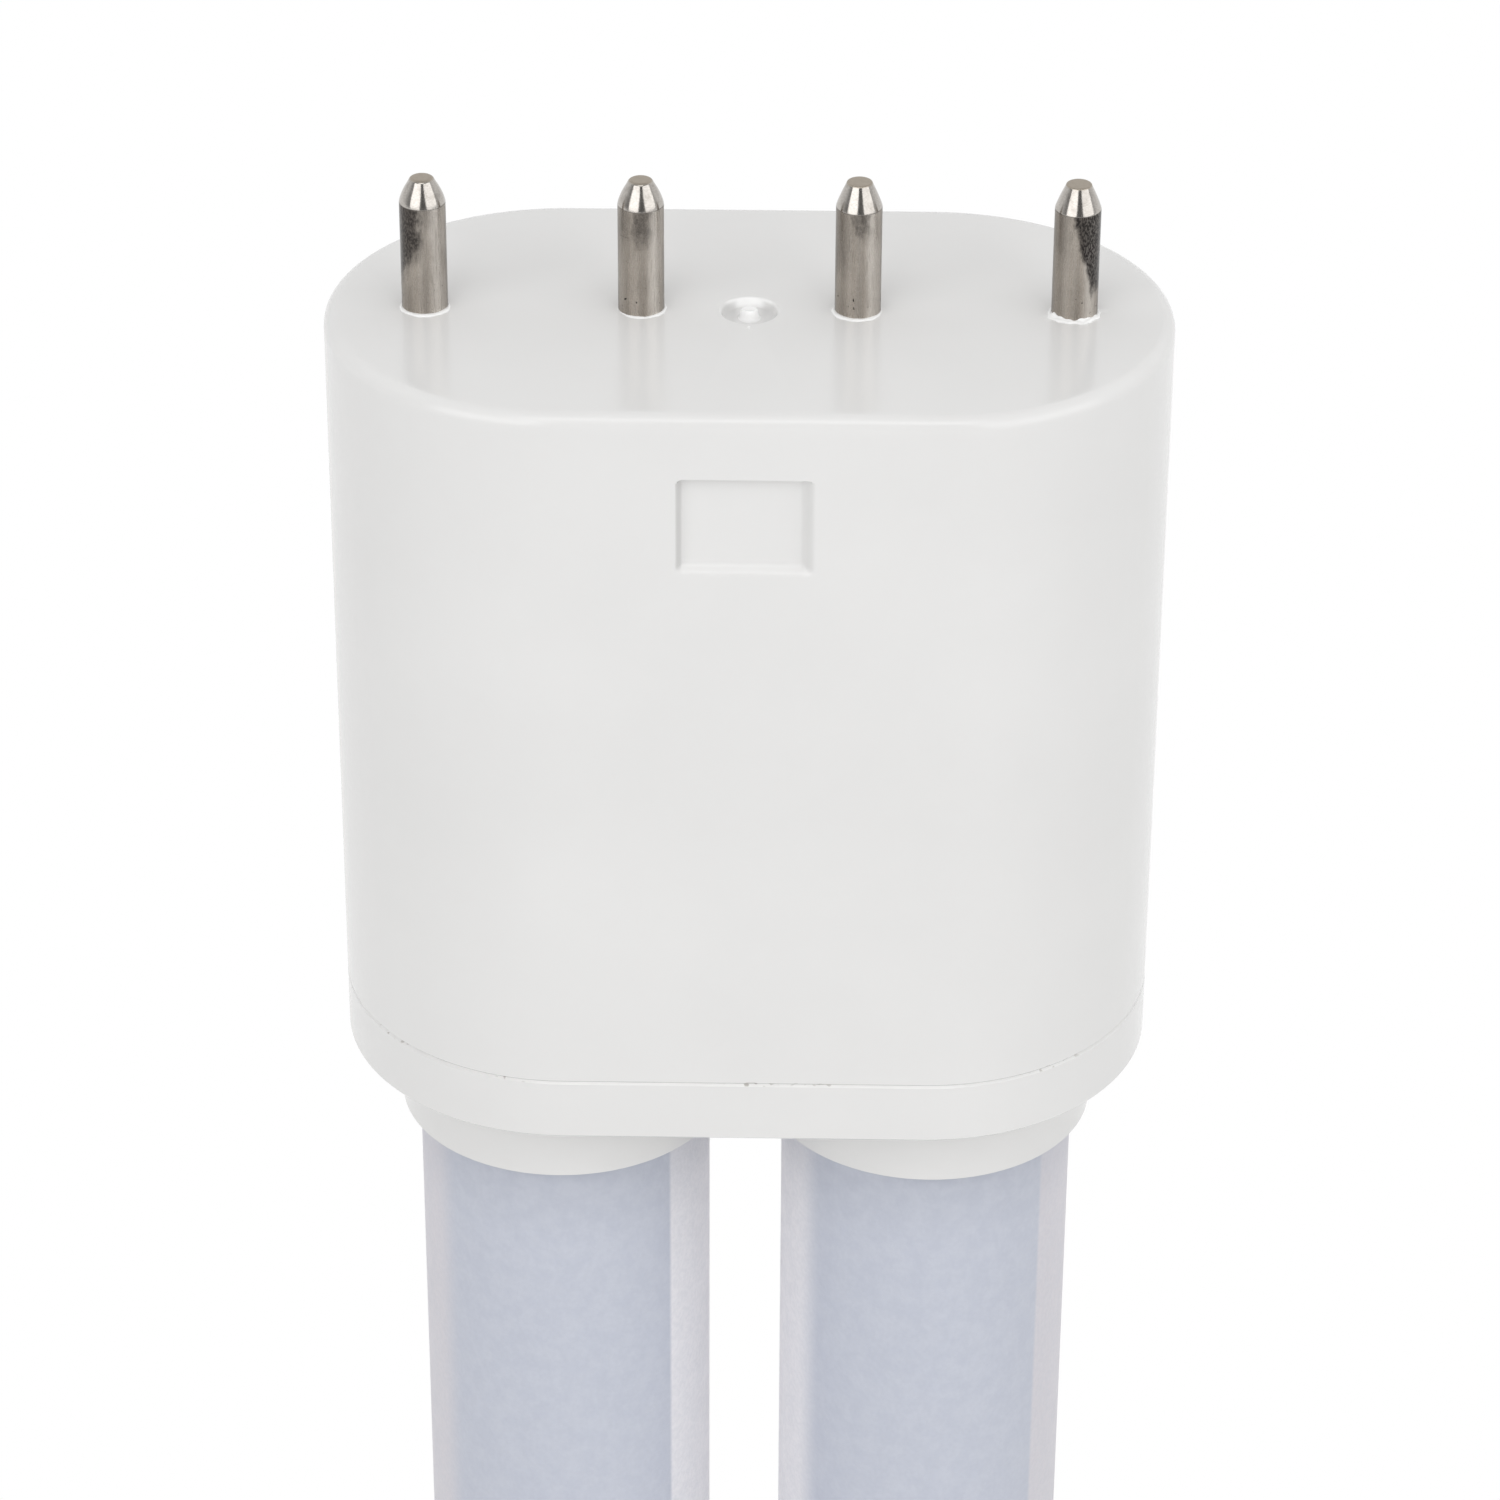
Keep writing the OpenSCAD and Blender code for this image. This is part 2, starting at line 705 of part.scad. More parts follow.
module bridge_profile() {
    polygon([
        [0, 0],
        [bridge_r - bridge_edge_r, 0],
        [bridge_r, bridge_edge_r],
        [bridge_r, bridge_h - bridge_bevel],
        [bridge_r - bridge_bevel, bridge_h],
        [0, bridge_h]
    ]);
    translate([bridge_r - bridge_edge_r, bridge_edge_r]) circle(r = bridge_edge_r, $fn = small);
}

module end_bridge() {
    color("white")
    difference() {
        round_ended(tube_pitch) bridge_profile();
        for (side = [-1, 1]) {
            translate([side * tube_pitch / 2, 0, bridge_floor])
                cylinder(d = tube_d + 2 * tube_clear, h = bridge_h, $fn = fine);
            translate([side * tube_pitch / 2, 0, 0])
                strip_slot(bridge_floor - strip_seat, bridge_floor + cut);
        }
    }
}

module led_board(side) {
    color("whitesmoke")
    difference() {
        translate([side * tube_pitch / 2, 0, 0])
            block([-strip_w / 2, strip_w / 2], [strip_back_y, strip_led_y], [strip_foot_z, strip_top_z]);
        for (off = [-strip_hole_off, strip_hole_off])
            translate([side * tube_pitch / 2 + off, strip_led_y + cut, strip_hole_z])
                rotate([90, 0, 0])
                    cylinder(d = wire_d + 2 * hole_clear, h = strip_t + 2 * cut, $fn = small);
    }
}

module led_chips(side) {
    window_depth = led_t / 2;
    color("khaki")
    for (i = [0 : led_count - 1])
        translate([side * tube_pitch / 2, strip_led_y, led_first_z + i * led_pitch])
            difference() {
                block([-led_w / 2, led_w / 2], [0, led_t], [-led_l / 2, led_l / 2]);
                translate([0, led_t - window_depth, 0])
                    rotate([-90, 0, 0])
                        cylinder(d1 = led_window_d - window_depth, d2 = led_window_d + window_depth,
                                 h = 2 * window_depth, $fn = small);
            }
}

// Each row: the place of a part, the gap between its leads, and whether
// the leads stand one above the other
function lead_rows() = [
    [fuse_at, fuse_lead_gap, true],
    [varistor_at, varistor_lead_gap, true],
    [film_at, film_lead_gap, true],
    [choke_at, choke_lead_gap, false],
    [bulk_at, can_lead_gap, false],
    [output_at, can_lead_gap, false],
    [transformer_at + [0, bobbin_pin_rise], bobbin_lead_gap, false],
    [transformer_at - [0, bobbin_pin_rise], bobbin_lead_gap, false]
];

module board_hole(x, z, d) {
    translate([x, board_back + cut, z])
        rotate([90, 0, 0]) cylinder(d = d + 2 * hole_clear, h = board_t + 2 * cut, $fn = small);
}

module driver_board() {
    color("darkgreen")
    difference() {
        block([-board_w / 2, board_w / 2], [board_front, board_back], [board_z, board_top_z]);
        for (row = lead_rows(), side = [-1, 1])
            board_hole(row[0][0] + (row[2] ? 0 : side * row[1] / 2),
                       board_z + row[0][1] + (row[2] ? side * row[1] / 2 : 0), lead_d);
        for (i = [0 : 3]) board_hole(pin_x(i), pin_hole_z, wire_d);
        for (side = [-1, 1], off = [-strip_hole_off, strip_hole_off])
            board_hole(side * tube_pitch / 2 + off, board_z + led_hole_rise, wire_d);
    }
}

// Wire-ended resistor on end, its outer lead folded back beside it
module fuse_resistor() {
    half_gap = fuse_lead_gap / 2;
    stand = 1.0;
    body_top = stand + fuse_l;
    edge = 0.5;
    color("steelblue")
    union() {
        on_board(fuse_at + [0, -half_gap])
            rotate_extrude($fn = small)
                polygon([
                    [0, stand], [fuse_d / 2 - edge, stand], [fuse_d / 2, stand + edge],
                    [fuse_d / 2, body_top - edge], [fuse_d / 2 - edge, body_top], [0, body_top]
                ]);
        lead_pair(fuse_at, fuse_lead_gap, true, stand + edge);
        on_board(fuse_at + [0, half_gap])
            cylinder(d = lead_d, h = body_top + edge, $fn = small);
        on_board(fuse_at + [0, -half_gap])
            translate([0, 0, body_top - edge]) cylinder(d = lead_d, h = 2 * edge, $fn = small);
        on_board(fuse_at)
            translate([0, 0, body_top + edge])
                rotate([90, 0, 90])
                    rotate_extrude(angle = 180, $fn = small)
                        translate([half_gap, 0]) circle(d = lead_d, $fn = small);
    }
}

// Coated disc on edge, with its two leads in line below it
module varistor() {
    stand = 0.5;
    round_r = varistor_t / 4;
    color("royalblue")
    union() {
        translate([varistor_at[0] - varistor_t / 2, board_front - stand - varistor_d / 2,
                   board_z + varistor_at[1]])
            rotate([0, 90, 0])
                rotate_extrude($fn = small)
                    polygon([
                        [0, 0], [varistor_d / 2 - round_r, 0], [varistor_d / 2, round_r],
                        [varistor_d / 2, varistor_t - round_r],
                        [varistor_d / 2 - round_r, varistor_t], [0, varistor_t]
                    ]);
        lead_pair(varistor_at, varistor_lead_gap, true, stand + varistor_d / 2);
    }
}

module film_capacitor() {
    stand = 0.3;
    bevel = 0.5;
    half_w = film_w / 2;
    color("goldenrod")
    union() {
        translate([film_at[0], 0, board_z + film_at[1] - film_h / 2])
            linear_extrude(film_h)
                polygon([
                    [-half_w, board_front - stand], [-half_w, board_front - film_depth + bevel],
                    [-half_w + bevel, board_front - film_depth],
                    [half_w - bevel, board_front - film_depth],
                    [half_w, board_front - film_depth + bevel], [half_w, board_front - stand]
                ]);
        lead_pair(film_at, film_lead_gap, true, stand + bevel);
    }
}

// Drum choke: two flanges with the winding between them
module input_choke() {
    flange_l = 1.0;
    waist = 0.5;
    color("dimgray")
    union() {
        on_board(choke_at)
            rotate_extrude($fn = small)
                polygon([
                    [0, 0], [choke_d / 2, 0], [choke_d / 2, flange_l],
                    [choke_d / 2 - waist, flange_l], [choke_d / 2 - waist, choke_l - flange_l],
                    [choke_d / 2, choke_l - flange_l], [choke_d / 2, choke_l], [0, choke_l]
                ]);
        lead_pair(choke_at, choke_lead_gap, false);
    }
}

// Moulded body with flat feet along its upper and lower sides
module surface_package(at, w, h, t, foot_w, foot_xs, front = true) {
    foot_t = 0.25;
    reach = 1.0;
    lift = 0.1;
    face_y = front ? board_front : board_back;
    dir = front ? -1 : 1;
    translate([at[0], face_y, board_z + at[1]])
        union() {
            block([-w / 2, w / 2], dir > 0 ? [lift, t] : [-t, -lift], [-h / 2, h / 2]);
            for (x = foot_xs)
                block([x - foot_w / 2, x + foot_w / 2],
                      dir > 0 ? [0, foot_t] : [-foot_t, 0],
                      [-h / 2 - reach, h / 2 + reach]);
        }
}

module bridge_rectifier() {
    color("black")
    surface_package(rectifier_at, rectifier_w, rectifier_h, 2.3, 0.7, [-1.3, 1.3]);
}

module controller_chip() {
    color("black")
    surface_package(controller_at, chip_w, chip_h, 1.5, 0.42, [-1.905, -0.635, 0.635, 1.905], false);
}

module output_diode() {
    color("black")
    surface_package(diode_at, 2.6, 4.2, 2.2, 1.4, [0], false);
}

// Electrolytic capacitor on end: crimped can with a scored vent
module electrolytic(at, d, l) {
    groove = 0.4;
    groove_at = 1.6;
    edge = 0.5;
    score_w = 0.3;
    score_depth = 0.15;
    union() {
        on_board(at)
            difference() {
                rotate_extrude($fn = small)
                    polygon([
                        [0, 0], [d / 2 - edge / 2, 0], [d / 2, edge / 2],
                        [d / 2, groove_at - groove], [d / 2 - groove, groove_at],
                        [d / 2, groove_at + groove], [d / 2, l - edge],
                        [d / 2 - edge, l], [0, l]
                    ]);
                for (turn = [0, 90])
                    rotate([0, 0, turn])
                        translate([-d / 3, -score_w / 2, l - score_depth])
                            cube([2 * d / 3, score_w, cut]);
            }
        lead_pair(at, can_lead_gap, false);
    }
}

module bulk_capacitor() {
    color("darkslategray") electrolytic(bulk_at, bulk_d, bulk_l);
}

module output_capacitor() {
    color("darkslateblue") electrolytic(output_at, output_d, output_l);
}

module transformer_frame() {
    translate([transformer_at[0], core_y, board_z + transformer_at[1]]) children();
}

module transformer_core() {
    color("dimgray")
    transformer_frame()
        difference() {
            block([-core_w / 2, core_w / 2], [-core_t / 2, core_t / 2], [-core_h / 2, core_h / 2]);
            for (side = [-1, 1])
                translate([side * (core_mid_w + window_w) / 2, 0, 0])
                    block([-window_w / 2, window_w / 2], [-core_t, core_t], [-window_h / 2, window_h / 2]);
        }
}

// Sleeve round the middle leg with a flange at each end. Each flange has a
// foot that reaches the board and carries two leads.
module transformer_bobbin() {
    sleeve_x = core_mid_w / 2 + core_clear;
    sleeve_y = core_t / 2 + core_clear;
    half_l = window_h / 2 - core_clear;
    color("black")
    union() {
        transformer_frame()
            difference() {
                union() {
                    block([-sleeve_x - bobbin_skin, sleeve_x + bobbin_skin],
                          [-sleeve_y - bobbin_skin, sleeve_y + bobbin_skin], [-half_l, half_l]);
                    for (end = [-1, 1])
                        translate([0, 0, end * bobbin_pin_rise])
                            block([-flange_half_w, flange_half_w],
                                  [-flange_half_d, board_front - core_y],
                                  [-bobbin_flange_t / 2, bobbin_flange_t / 2]);
                }
                block([-sleeve_x, sleeve_x], [-sleeve_y, sleeve_y], [-half_l - cut, half_l + cut]);
            }
        for (end = [-1, 1])
            lead_pair(transformer_at + [0, end * bobbin_pin_rise], bobbin_lead_gap, false, lead_d);
    }
}

module transformer_winding() {
    hole_x = core_mid_w / 2 + 2 * core_clear + bobbin_skin;
    hole_y = core_t / 2 + 2 * core_clear + bobbin_skin;
    half_l = window_h / 2 - 2 * core_clear - bobbin_flange_t;
    half_w = flange_half_w - winding_inset;
    half_d = flange_half_d - winding_inset;
    color("gold")
    transformer_frame()
        translate([0, 0, -half_l])
            linear_extrude(2 * half_l)
                difference() {
                    rounded_panel(-half_w, half_w, -half_d, half_d, winding_corner);
                    square([2 * hole_x, 2 * hole_y], center = true);
                }
}

module chip_resistors() {
    resistor_w = 2.0;
    resistor_h = 1.25;
    resistor_t = 0.55;
    color("black")
    for (i = [0 : resistor_count - 1])
        translate([resistor_at[0] + i * resistor_step, board_back, board_z + resistor_at[1]])
            block([-resistor_w / 2, resistor_w / 2], [0, resistor_t], [-resistor_h / 2, resistor_h / 2]);
}

base_cap();
base_collar();
end_bridge();
tube(-1);  // tube_left
tube(1);  // tube_right
contact_pin(0);  // contact_pin_1
contact_pin(1);  // contact_pin_2
contact_pin(2);  // contact_pin_3
contact_pin(3);  // contact_pin_4
pin_lead(0);  // pin_lead_1
pin_lead(1);  // pin_lead_2
pin_lead(2);  // pin_lead_3
pin_lead(3);  // pin_lead_4
led_board(-1);  // led_board_left
led_board(1);  // led_board_right
led_chips(-1);  // led_chips_left
led_chips(1);  // led_chips_right
led_lead(-tube_pitch / 2 - strip_hole_off, "red");  // led_lead_left_positive
led_lead(-tube_pitch / 2 + strip_hole_off, "black");  // led_lead_left_negative
led_lead(tube_pitch / 2 - strip_hole_off, "red");  // led_lead_right_positive
led_lead(tube_pitch / 2 + strip_hole_off, "black");  // led_lead_right_negative
driver_board();
fuse_resistor();
varistor();
film_capacitor();
input_choke();
bridge_rectifier();
bulk_capacitor();
output_capacitor();
transformer_core();
transformer_bobbin();
transformer_winding();
controller_chip();
output_diode();
chip_resistors();
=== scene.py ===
"""Twin-tube plug-in LED lamp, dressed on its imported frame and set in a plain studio.

Lengths in the classes are millimetres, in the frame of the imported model: the lamp stands
on its far end with the contact pins up, X runs along the pin row and -Y is the front.
"""

import logging
import math
import random
from collections.abc import Callable, Iterable, Sequence
from dataclasses import dataclass, field, replace
from enum import Enum

import bmesh
import bpy
from mathutils import Matrix, Vector


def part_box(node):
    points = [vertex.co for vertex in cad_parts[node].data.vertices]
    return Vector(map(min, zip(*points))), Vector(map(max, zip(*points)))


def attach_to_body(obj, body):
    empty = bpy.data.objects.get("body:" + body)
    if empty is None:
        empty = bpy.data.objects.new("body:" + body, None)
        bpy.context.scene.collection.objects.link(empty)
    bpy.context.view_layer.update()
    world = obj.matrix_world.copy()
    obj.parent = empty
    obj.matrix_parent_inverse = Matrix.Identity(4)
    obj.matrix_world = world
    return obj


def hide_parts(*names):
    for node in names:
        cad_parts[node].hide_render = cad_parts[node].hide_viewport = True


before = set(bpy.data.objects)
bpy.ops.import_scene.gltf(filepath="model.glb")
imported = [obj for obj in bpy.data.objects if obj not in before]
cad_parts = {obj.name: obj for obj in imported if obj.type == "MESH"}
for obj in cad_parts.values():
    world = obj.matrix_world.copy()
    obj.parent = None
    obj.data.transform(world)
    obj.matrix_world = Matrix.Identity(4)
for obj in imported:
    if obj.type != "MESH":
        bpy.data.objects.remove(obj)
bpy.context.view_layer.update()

MM = 0.001
BODY = "root"
LED_PITCH = 8.0
LED_HALF_LENGTH = 1.4
BELOW_ALL = -50.0
ABOVE_ALL = 500.0
GRAIN_SPREAD = (0.3, 0.7)
CLOUD_SPREAD = (0.35, 0.65)

Colour = tuple[float, float, float]
Socket = bpy.types.NodeSocket
Input = float | Colour | Socket

log = logging.getLogger("lamp")


class Slot(Enum):
    """Names of material slots for the housing and the contact pins; nothing here uses them."""

    HOUSING = "housing"
    CONTACT_PIN = "contact_pin"


def low_corner(node: str) -> Vector:
    """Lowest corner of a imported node, in millimetres."""
    return Vector(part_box(node)[0]) / MM


def high_corner(node: str) -> Vector:
    """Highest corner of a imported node, in millimetres."""
    return Vector(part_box(node)[1]) / MM


def middle_x(node: str) -> float:
    """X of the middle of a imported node, in millimetres."""
    return (low_corner(node).x + high_corner(node).x) / 2


def first_led_z(side: str) -> float:
    """Height of the middle of a tube's lowest LED, in millimetres."""
    return low_corner("led_chips_" + side).z + LED_HALF_LENGTH


def steps(start: float, stop: float, count: int) -> list[float]:
    """Evenly spaced values from start to stop, both included.

    Args:
        start: First value.
        stop: Last value.
        count: Number of gaps between values.

    Returns:
        The count + 1 values.
    """
    return [start + (stop - start) * i / count for i in range(count + 1)]


def smooth(value: float) -> float:
    """Eases a share between 0 and 1 in and out, and clamps it."""
    share = min(max(value, 0.0), 1.0)
    return share * share * (3 - 2 * share)


class Wiring:
    """A node tree, with one short call for each kind of node in use."""

    def __init__(self, tree: bpy.types.NodeTree) -> None:
        """Works on a tree.

        Args:
            tree: The tree of a material or of the world.
        """
        self.tree = tree

    def add(self, kind: str, **settings: object) -> bpy.types.Node:
        """Adds a node.

        Args:
            kind: The node's type name.
            settings: Properties to set on it.

        Returns:
            The new node.
        """
        node = self.tree.nodes.new(kind)
        for key, value in settings.items():
            setattr(node, key, value)
        return node

    def put(self, socket: Socket, value: Input) -> None:
        """Links a socket into another, or sets a plain value on it.

        Args:
            socket: The input to feed.
            value: An output socket, a number or a colour.
        """
        if isinstance(value, Socket):
            self.tree.links.new(value, socket)
        elif socket.type == "RGBA":
            socket.default_value = (*value, 1.0)
        else:
            socket.default_value = value

    def math(self, operation: str, a: Input, b: Input = 0.0) -> Socket:
        """One step of arithmetic.

        Args:
            operation: Name of the operation.
            a: First value.
            b: Second value.

        Returns:
            The result.
        """
        node = self.add("ShaderNodeMath", operation=operation)
        self.put(node.inputs[0], a)
        self.put(node.inputs[1], b)
        return node.outputs[0]

    def product(self, first: Input, *others: Input) -> Socket:
        """All the values multiplied."""
        result = first
        for other in others:
            result = self.math("MULTIPLY", result, other)
        return result

    def distance(self, a: Input, b: Input) -> Socket:
        """Length of the vector in a plane that has these two parts."""
        return self.math("SQRT", self.math("ADD", self.product(a, a), self.product(b, b)))

    def split(self, vector: Socket) -> list[Socket]:
        """X, Y and Z of a vector."""
        parts = self.add("ShaderNodeSeparateXYZ")
        self.put(parts.inputs[0], vector)
        return list(parts.outputs)

    def ramp(self, value: Input, start: float, stop: float, low: float = 0.0, high: float = 1.0) -> Socket:
        """Eased step from low to high while a value goes from start to stop.

        Args:
            value: The value that is followed.
            start: Where the step begins.
            stop: Where it ends.
            low: Result at start.
            high: Result at stop.

        Returns:
            The eased value.
        """
        node = self.add("ShaderNodeMapRange", interpolation_type="SMOOTHSTEP")
        self.put(node.inputs["Value"], value)
        limits = {"From Min": start, "From Max": stop, "To Min": low, "To Max": high}
        for key, limit in limits.items():
            node.inputs[key].default_value = limit
        return node.outputs[0]

    def window(self, value: Input, start: float, stop: float, edge: float) -> Socket:
        """One between start and stop, falling to nothing over an edge on each side.

        Args:
            value: The value that is followed.
            start: Lower end of the window.
            stop: Upper end of the window.
            edge: Width of the soft edges.

        Returns:
            The window as a share from 0 to 1.
        """
        rise = self.ramp(value, start - edge, start + edge)
        fall = self.ramp(value, stop - edge, stop + edge, 1.0, 0.0)
        return self.math("MULTIPLY", rise, fall)

    def blend(self, share: Input, a: Input, b: Input) -> Socket:
        """Number between a and b.

        Args:
            share: Nothing gives a, one gives b.
            a: First number.
            b: Second number.

        Returns:
            The number.
        """
        node = self.add("ShaderNodeMix", data_type="FLOAT")
        self.put(node.inputs[0], share)
        self.put(node.inputs[2], a)
        self.put(node.inputs[3], b)
        return node.outputs[0]

    def mix(self, share: Input, a: Input, b: Input) -> Socket:
        """Colour between a and b.

        Args:
            share: Nothing gives a, one gives b.
            a: First colour.
            b: Second colour.

        Returns:
            The mixed colour.
        """
        node = self.add("ShaderNodeMix", data_type="RGBA")
        self.put(node.inputs[0], share)
        self.put(node.inputs[6], a)
        self.put(node.inputs[7], b)
        return node.outputs[2]

    def shade(self, share: Input, a: Socket, b: Socket) -> Socket:
        """Surface between a and b.

        Args:
            share: Nothing gives a, one gives b.
            a: First surface.
            b: Second surface.

        Returns:
            The mixed surface.
        """
        node = self.add("ShaderNodeMixShader")
        for socket, value in zip(node.inputs, (share, a, b)):
            self.put(socket, value)
        return node.outputs[0]


class Shader(Wiring):
    """A material with a principled surface."""

    def __init__(self, name: str) -> None:
        """Starts a material with its own principled surface.

        Args:
            name: Name of the material.
        """
        self.material = bpy.data.materials.new(name)
        self.material.use_nodes = True
        super().__init__(self.material.node_tree)
        self.surface = self.tree.nodes["Principled BSDF"]

    def set(self, **inputs: Input) -> None:
        """Feeds inputs of the principled surface, with _ for each space in a name."""
        for key, value in inputs.items():
            self.put(self.surface.inputs[key.replace("_", " ")], value)

    def place(self, scale: Sequence[float]) -> Socket:
        """The shaded point in the lamp's frame, in metres times a scale along X, Y and Z."""
        scaled = self.add("ShaderNodeMapping")
        self.put(scaled.inputs["Vector"], self.add("ShaderNodeTexCoord").outputs["Object"])
        scaled.inputs["Scale"].default_value = scale
        return scaled.outputs[0]

    def position(self) -> list[Socket]:
        """X, Y and Z of the shaded point in the lamp's frame, in millimetres."""
        return self.split(self.place([1 / MM] * 3))

    def noise(self, size: float, detail: float = 2.0, stretch: Colour = (1, 1, 1)) -> Socket:
        """Cloudy noise fixed to the piece.

        Args:
            size: Size of its features in millimetres.
            detail: Number of finer layers.
            stretch: How much longer the features are along X, Y and Z.

        Returns:
            A value round 0.5.
        """
        texture = self.add("ShaderNodeTexNoise")
        self.put(texture.inputs["Vector"], self.place([1 / (size * MM * s) for s in stretch]))
        texture.inputs["Scale"].default_value = 1.0
        texture.inputs["Detail"].default_value = detail
        return texture.outputs["Fac"]

    def bump(self, height: Input, depth: float) -> None:
        """Roughens the surface.

        Args:
            height: Height as a share of the depth.
            depth: Depth in millimetres.
        """
        node = self.add("ShaderNodeBump")
        self.put(node.inputs["Height"], height)
        node.inputs["Distance"].default_value = depth * MM
        self.put(self.surface.inputs["Normal"], node.outputs[0])


class Finish:
    """A finish that becomes a material of its own."""

    def wire(self, made: Shader) -> None:
        """Wires the finish, which each kind does in its own way."""
        raise NotImplementedError

    def material(self, name: str) -> bpy.types.Material:
        """The finished material.

        Args:
            name: Its name.

        Returns:
            The material.
        """
        made = Shader(name)
        self.wire(made)
        return made.material


@dataclass(frozen=True)
class Zone:
    """Stretch of a piece along one axis that has another finish.

    Attributes:
        axis: 0 for X, 1 for Y, 2 for Z.
        low: Lower end in millimetres.
        high: Upper end in millimetres.
        finish: The finish there.
    """

    axis: int
    low: float
    high: float
    finish: "GrainFinish"


@dataclass(frozen=True)
class GrainFinish(Finish):
    """A finish with two close tones, fine grain and uneven gloss.

    Attributes:
        tone: Main colour.
        second: Colour of the clouds in it.
        rough: Roughness at the glossiest and the dullest spots.
        grain: Size of the grain in millimetres.
        depth: Depth of the grain in millimetres.
        stretch: How much longer the grain is along X, Y and Z.
        metallic: One for bare metal.
        zones: Stretches that have another finish, such as leads.
    """

    tone: Colour
    second: Colour
    rough: tuple[float, float]
    grain: float = 0.3
    depth: float = 0.01
    stretch: Colour = (1, 1, 1)
    metallic: float = 0.0
    zones: tuple[Zone, ...] = ()

    def layer(self, made: Shader) -> tuple[Input, Input, Input, Input]:
        """Wires this finish alone.

        Args:
            made: The shader.

        Returns:
            Its colour, roughness, metallic share and grain.
        """
        grain = made.noise(self.grain, 2.0, self.stretch)
        clouds = made.ramp(made.noise(self.grain * 12, 3.0), *CLOUD_SPREAD)
        colour = made.mix(clouds, self.tone, self.second)
        return colour, made.ramp(grain, *GRAIN_SPREAD, *self.rough), self.metallic, grain

    def wire(self, made: Shader) -> None:
        """Wires the finish and its zones."""
        colour, rough, metallic, grain = self.layer(made)
        for zone in self.zones:
            inside = made.window(made.position()[zone.axis], zone.low, zone.high, 0.02)
            over_colour, over_rough, over_metallic, _ = zone.finish.layer(made)
            colour = made.mix(inside, colour, over_colour)
            rough = made.blend(inside, rough, over_rough)
            metallic = made.blend(inside, metallic, over_metallic)
        made.set(Base_Color=colour, Roughness=rough, Metallic=metallic)
        made.bump(grain, self.depth)


def above_led(made: Shader, z: Socket, first_z: float) -> Socket:
    """Height above the middle of the nearest LED, less than nothing below it.

    Args:
        made: The shader.
        z: Height of the shaded point in millimetres.
        first_z: Height of the lowest LED.

    Returns:
        The height in millimetres.
    """
    row = made.math("SUBTRACT", z, first_z - LED_PITCH / 2)
    return made.math("SUBTRACT", made.math("FLOORED_MODULO", row, LED_PITCH), LED_PITCH / 2)


@dataclass(frozen=True)
class LedPackage(Finish):
    """White LED package with a yellow phosphor window.

    Attributes:
        axis_x: X of the row of LEDs in millimetres.
        first_z: Height of the lowest LED.
        window: Radius of the phosphor window.
        window_edge: Half the width of the window's soft edge.
        white: Colours of the package's grain.
        phosphor: Colours of the window's grain.
    """

    axis_x: float
    first_z: float
    window: float = 1.15
    window_edge: float = 0.05
    white: tuple[Colour, Colour] = ((0.84, 0.84, 0.82), (0.78, 0.78, 0.76))
    phosphor: tuple[Colour, Colour] = ((0.86, 0.66, 0.10), (0.74, 0.52, 0.06))

    def wire(self, made: Shader) -> None:
        """Wires the finish."""
        x, _, z = made.position()
        away = made.distance(made.math("SUBTRACT", x, self.axis_x), above_led(made, z, self.first_z))
        in_window = made.ramp(away, self.window - self.window_edge, self.window + self.window_edge, 1.0, 0.0)
        grain = made.noise(0.12)
        made.set(
            Base_Color=made.mix(in_window, made.mix(grain, *self.white), made.mix(grain, *self.phosphor)),
            Roughness=made.ramp(grain, *GRAIN_SPREAD, 0.3, 0.5),
        )
        made.bump(grain, 0.01)


@dataclass(frozen=True)
class SolderMask(Finish):
    """Green solder mask over copper tracks, with dull edges where the board was cut.

    Attributes:
        half_width: Half the board's width in millimetres.
        track_width: Spacing of the tracks along X.
        track_height: Spacing of the tracks along Z.
        mask: Colour over bare laminate.
        track: Colour over copper.
        edge: Colour of the cut laminate.
    """

    half_width: float
    track_width: float = 3.2
    track_height: float = 4.4
    mask: Colour = (0.012, 0.085, 0.03)
    track: Colour = (0.03, 0.17, 0.055)
    edge: Colour = (0.30, 0.28, 0.13)

    def wire(self, made: Shader) -> None:
        """Wires the finish."""
        tracks = made.add("ShaderNodeTexVoronoi", distance="CHEBYCHEV", feature="F1")
        spacing = [1 / (self.track_width * MM), 0.0, 1 / (self.track_height * MM)]
        made.put(tracks.inputs["Vector"], made.place(spacing))
        tracks.inputs["Scale"].default_value = 1.0
        copper = made.ramp(tracks.outputs["Distance"], 0.30, 0.33, 1.0, 0.0)
        across = made.math("ABSOLUTE", made.position()[0])
        cut = made.ramp(across, self.half_width - 0.03, self.half_width - 0.01)
        grain = made.noise(0.3)
        made.set(
            Base_Color=made.mix(cut, made.mix(copper, self.mask, self.track), self.edge),
            Roughness=made.ramp(grain, *GRAIN_SPREAD, 0.2, 0.38),
        )
        made.bump(made.math("ADD", grain, made.product(copper, 3.0)), 0.01)


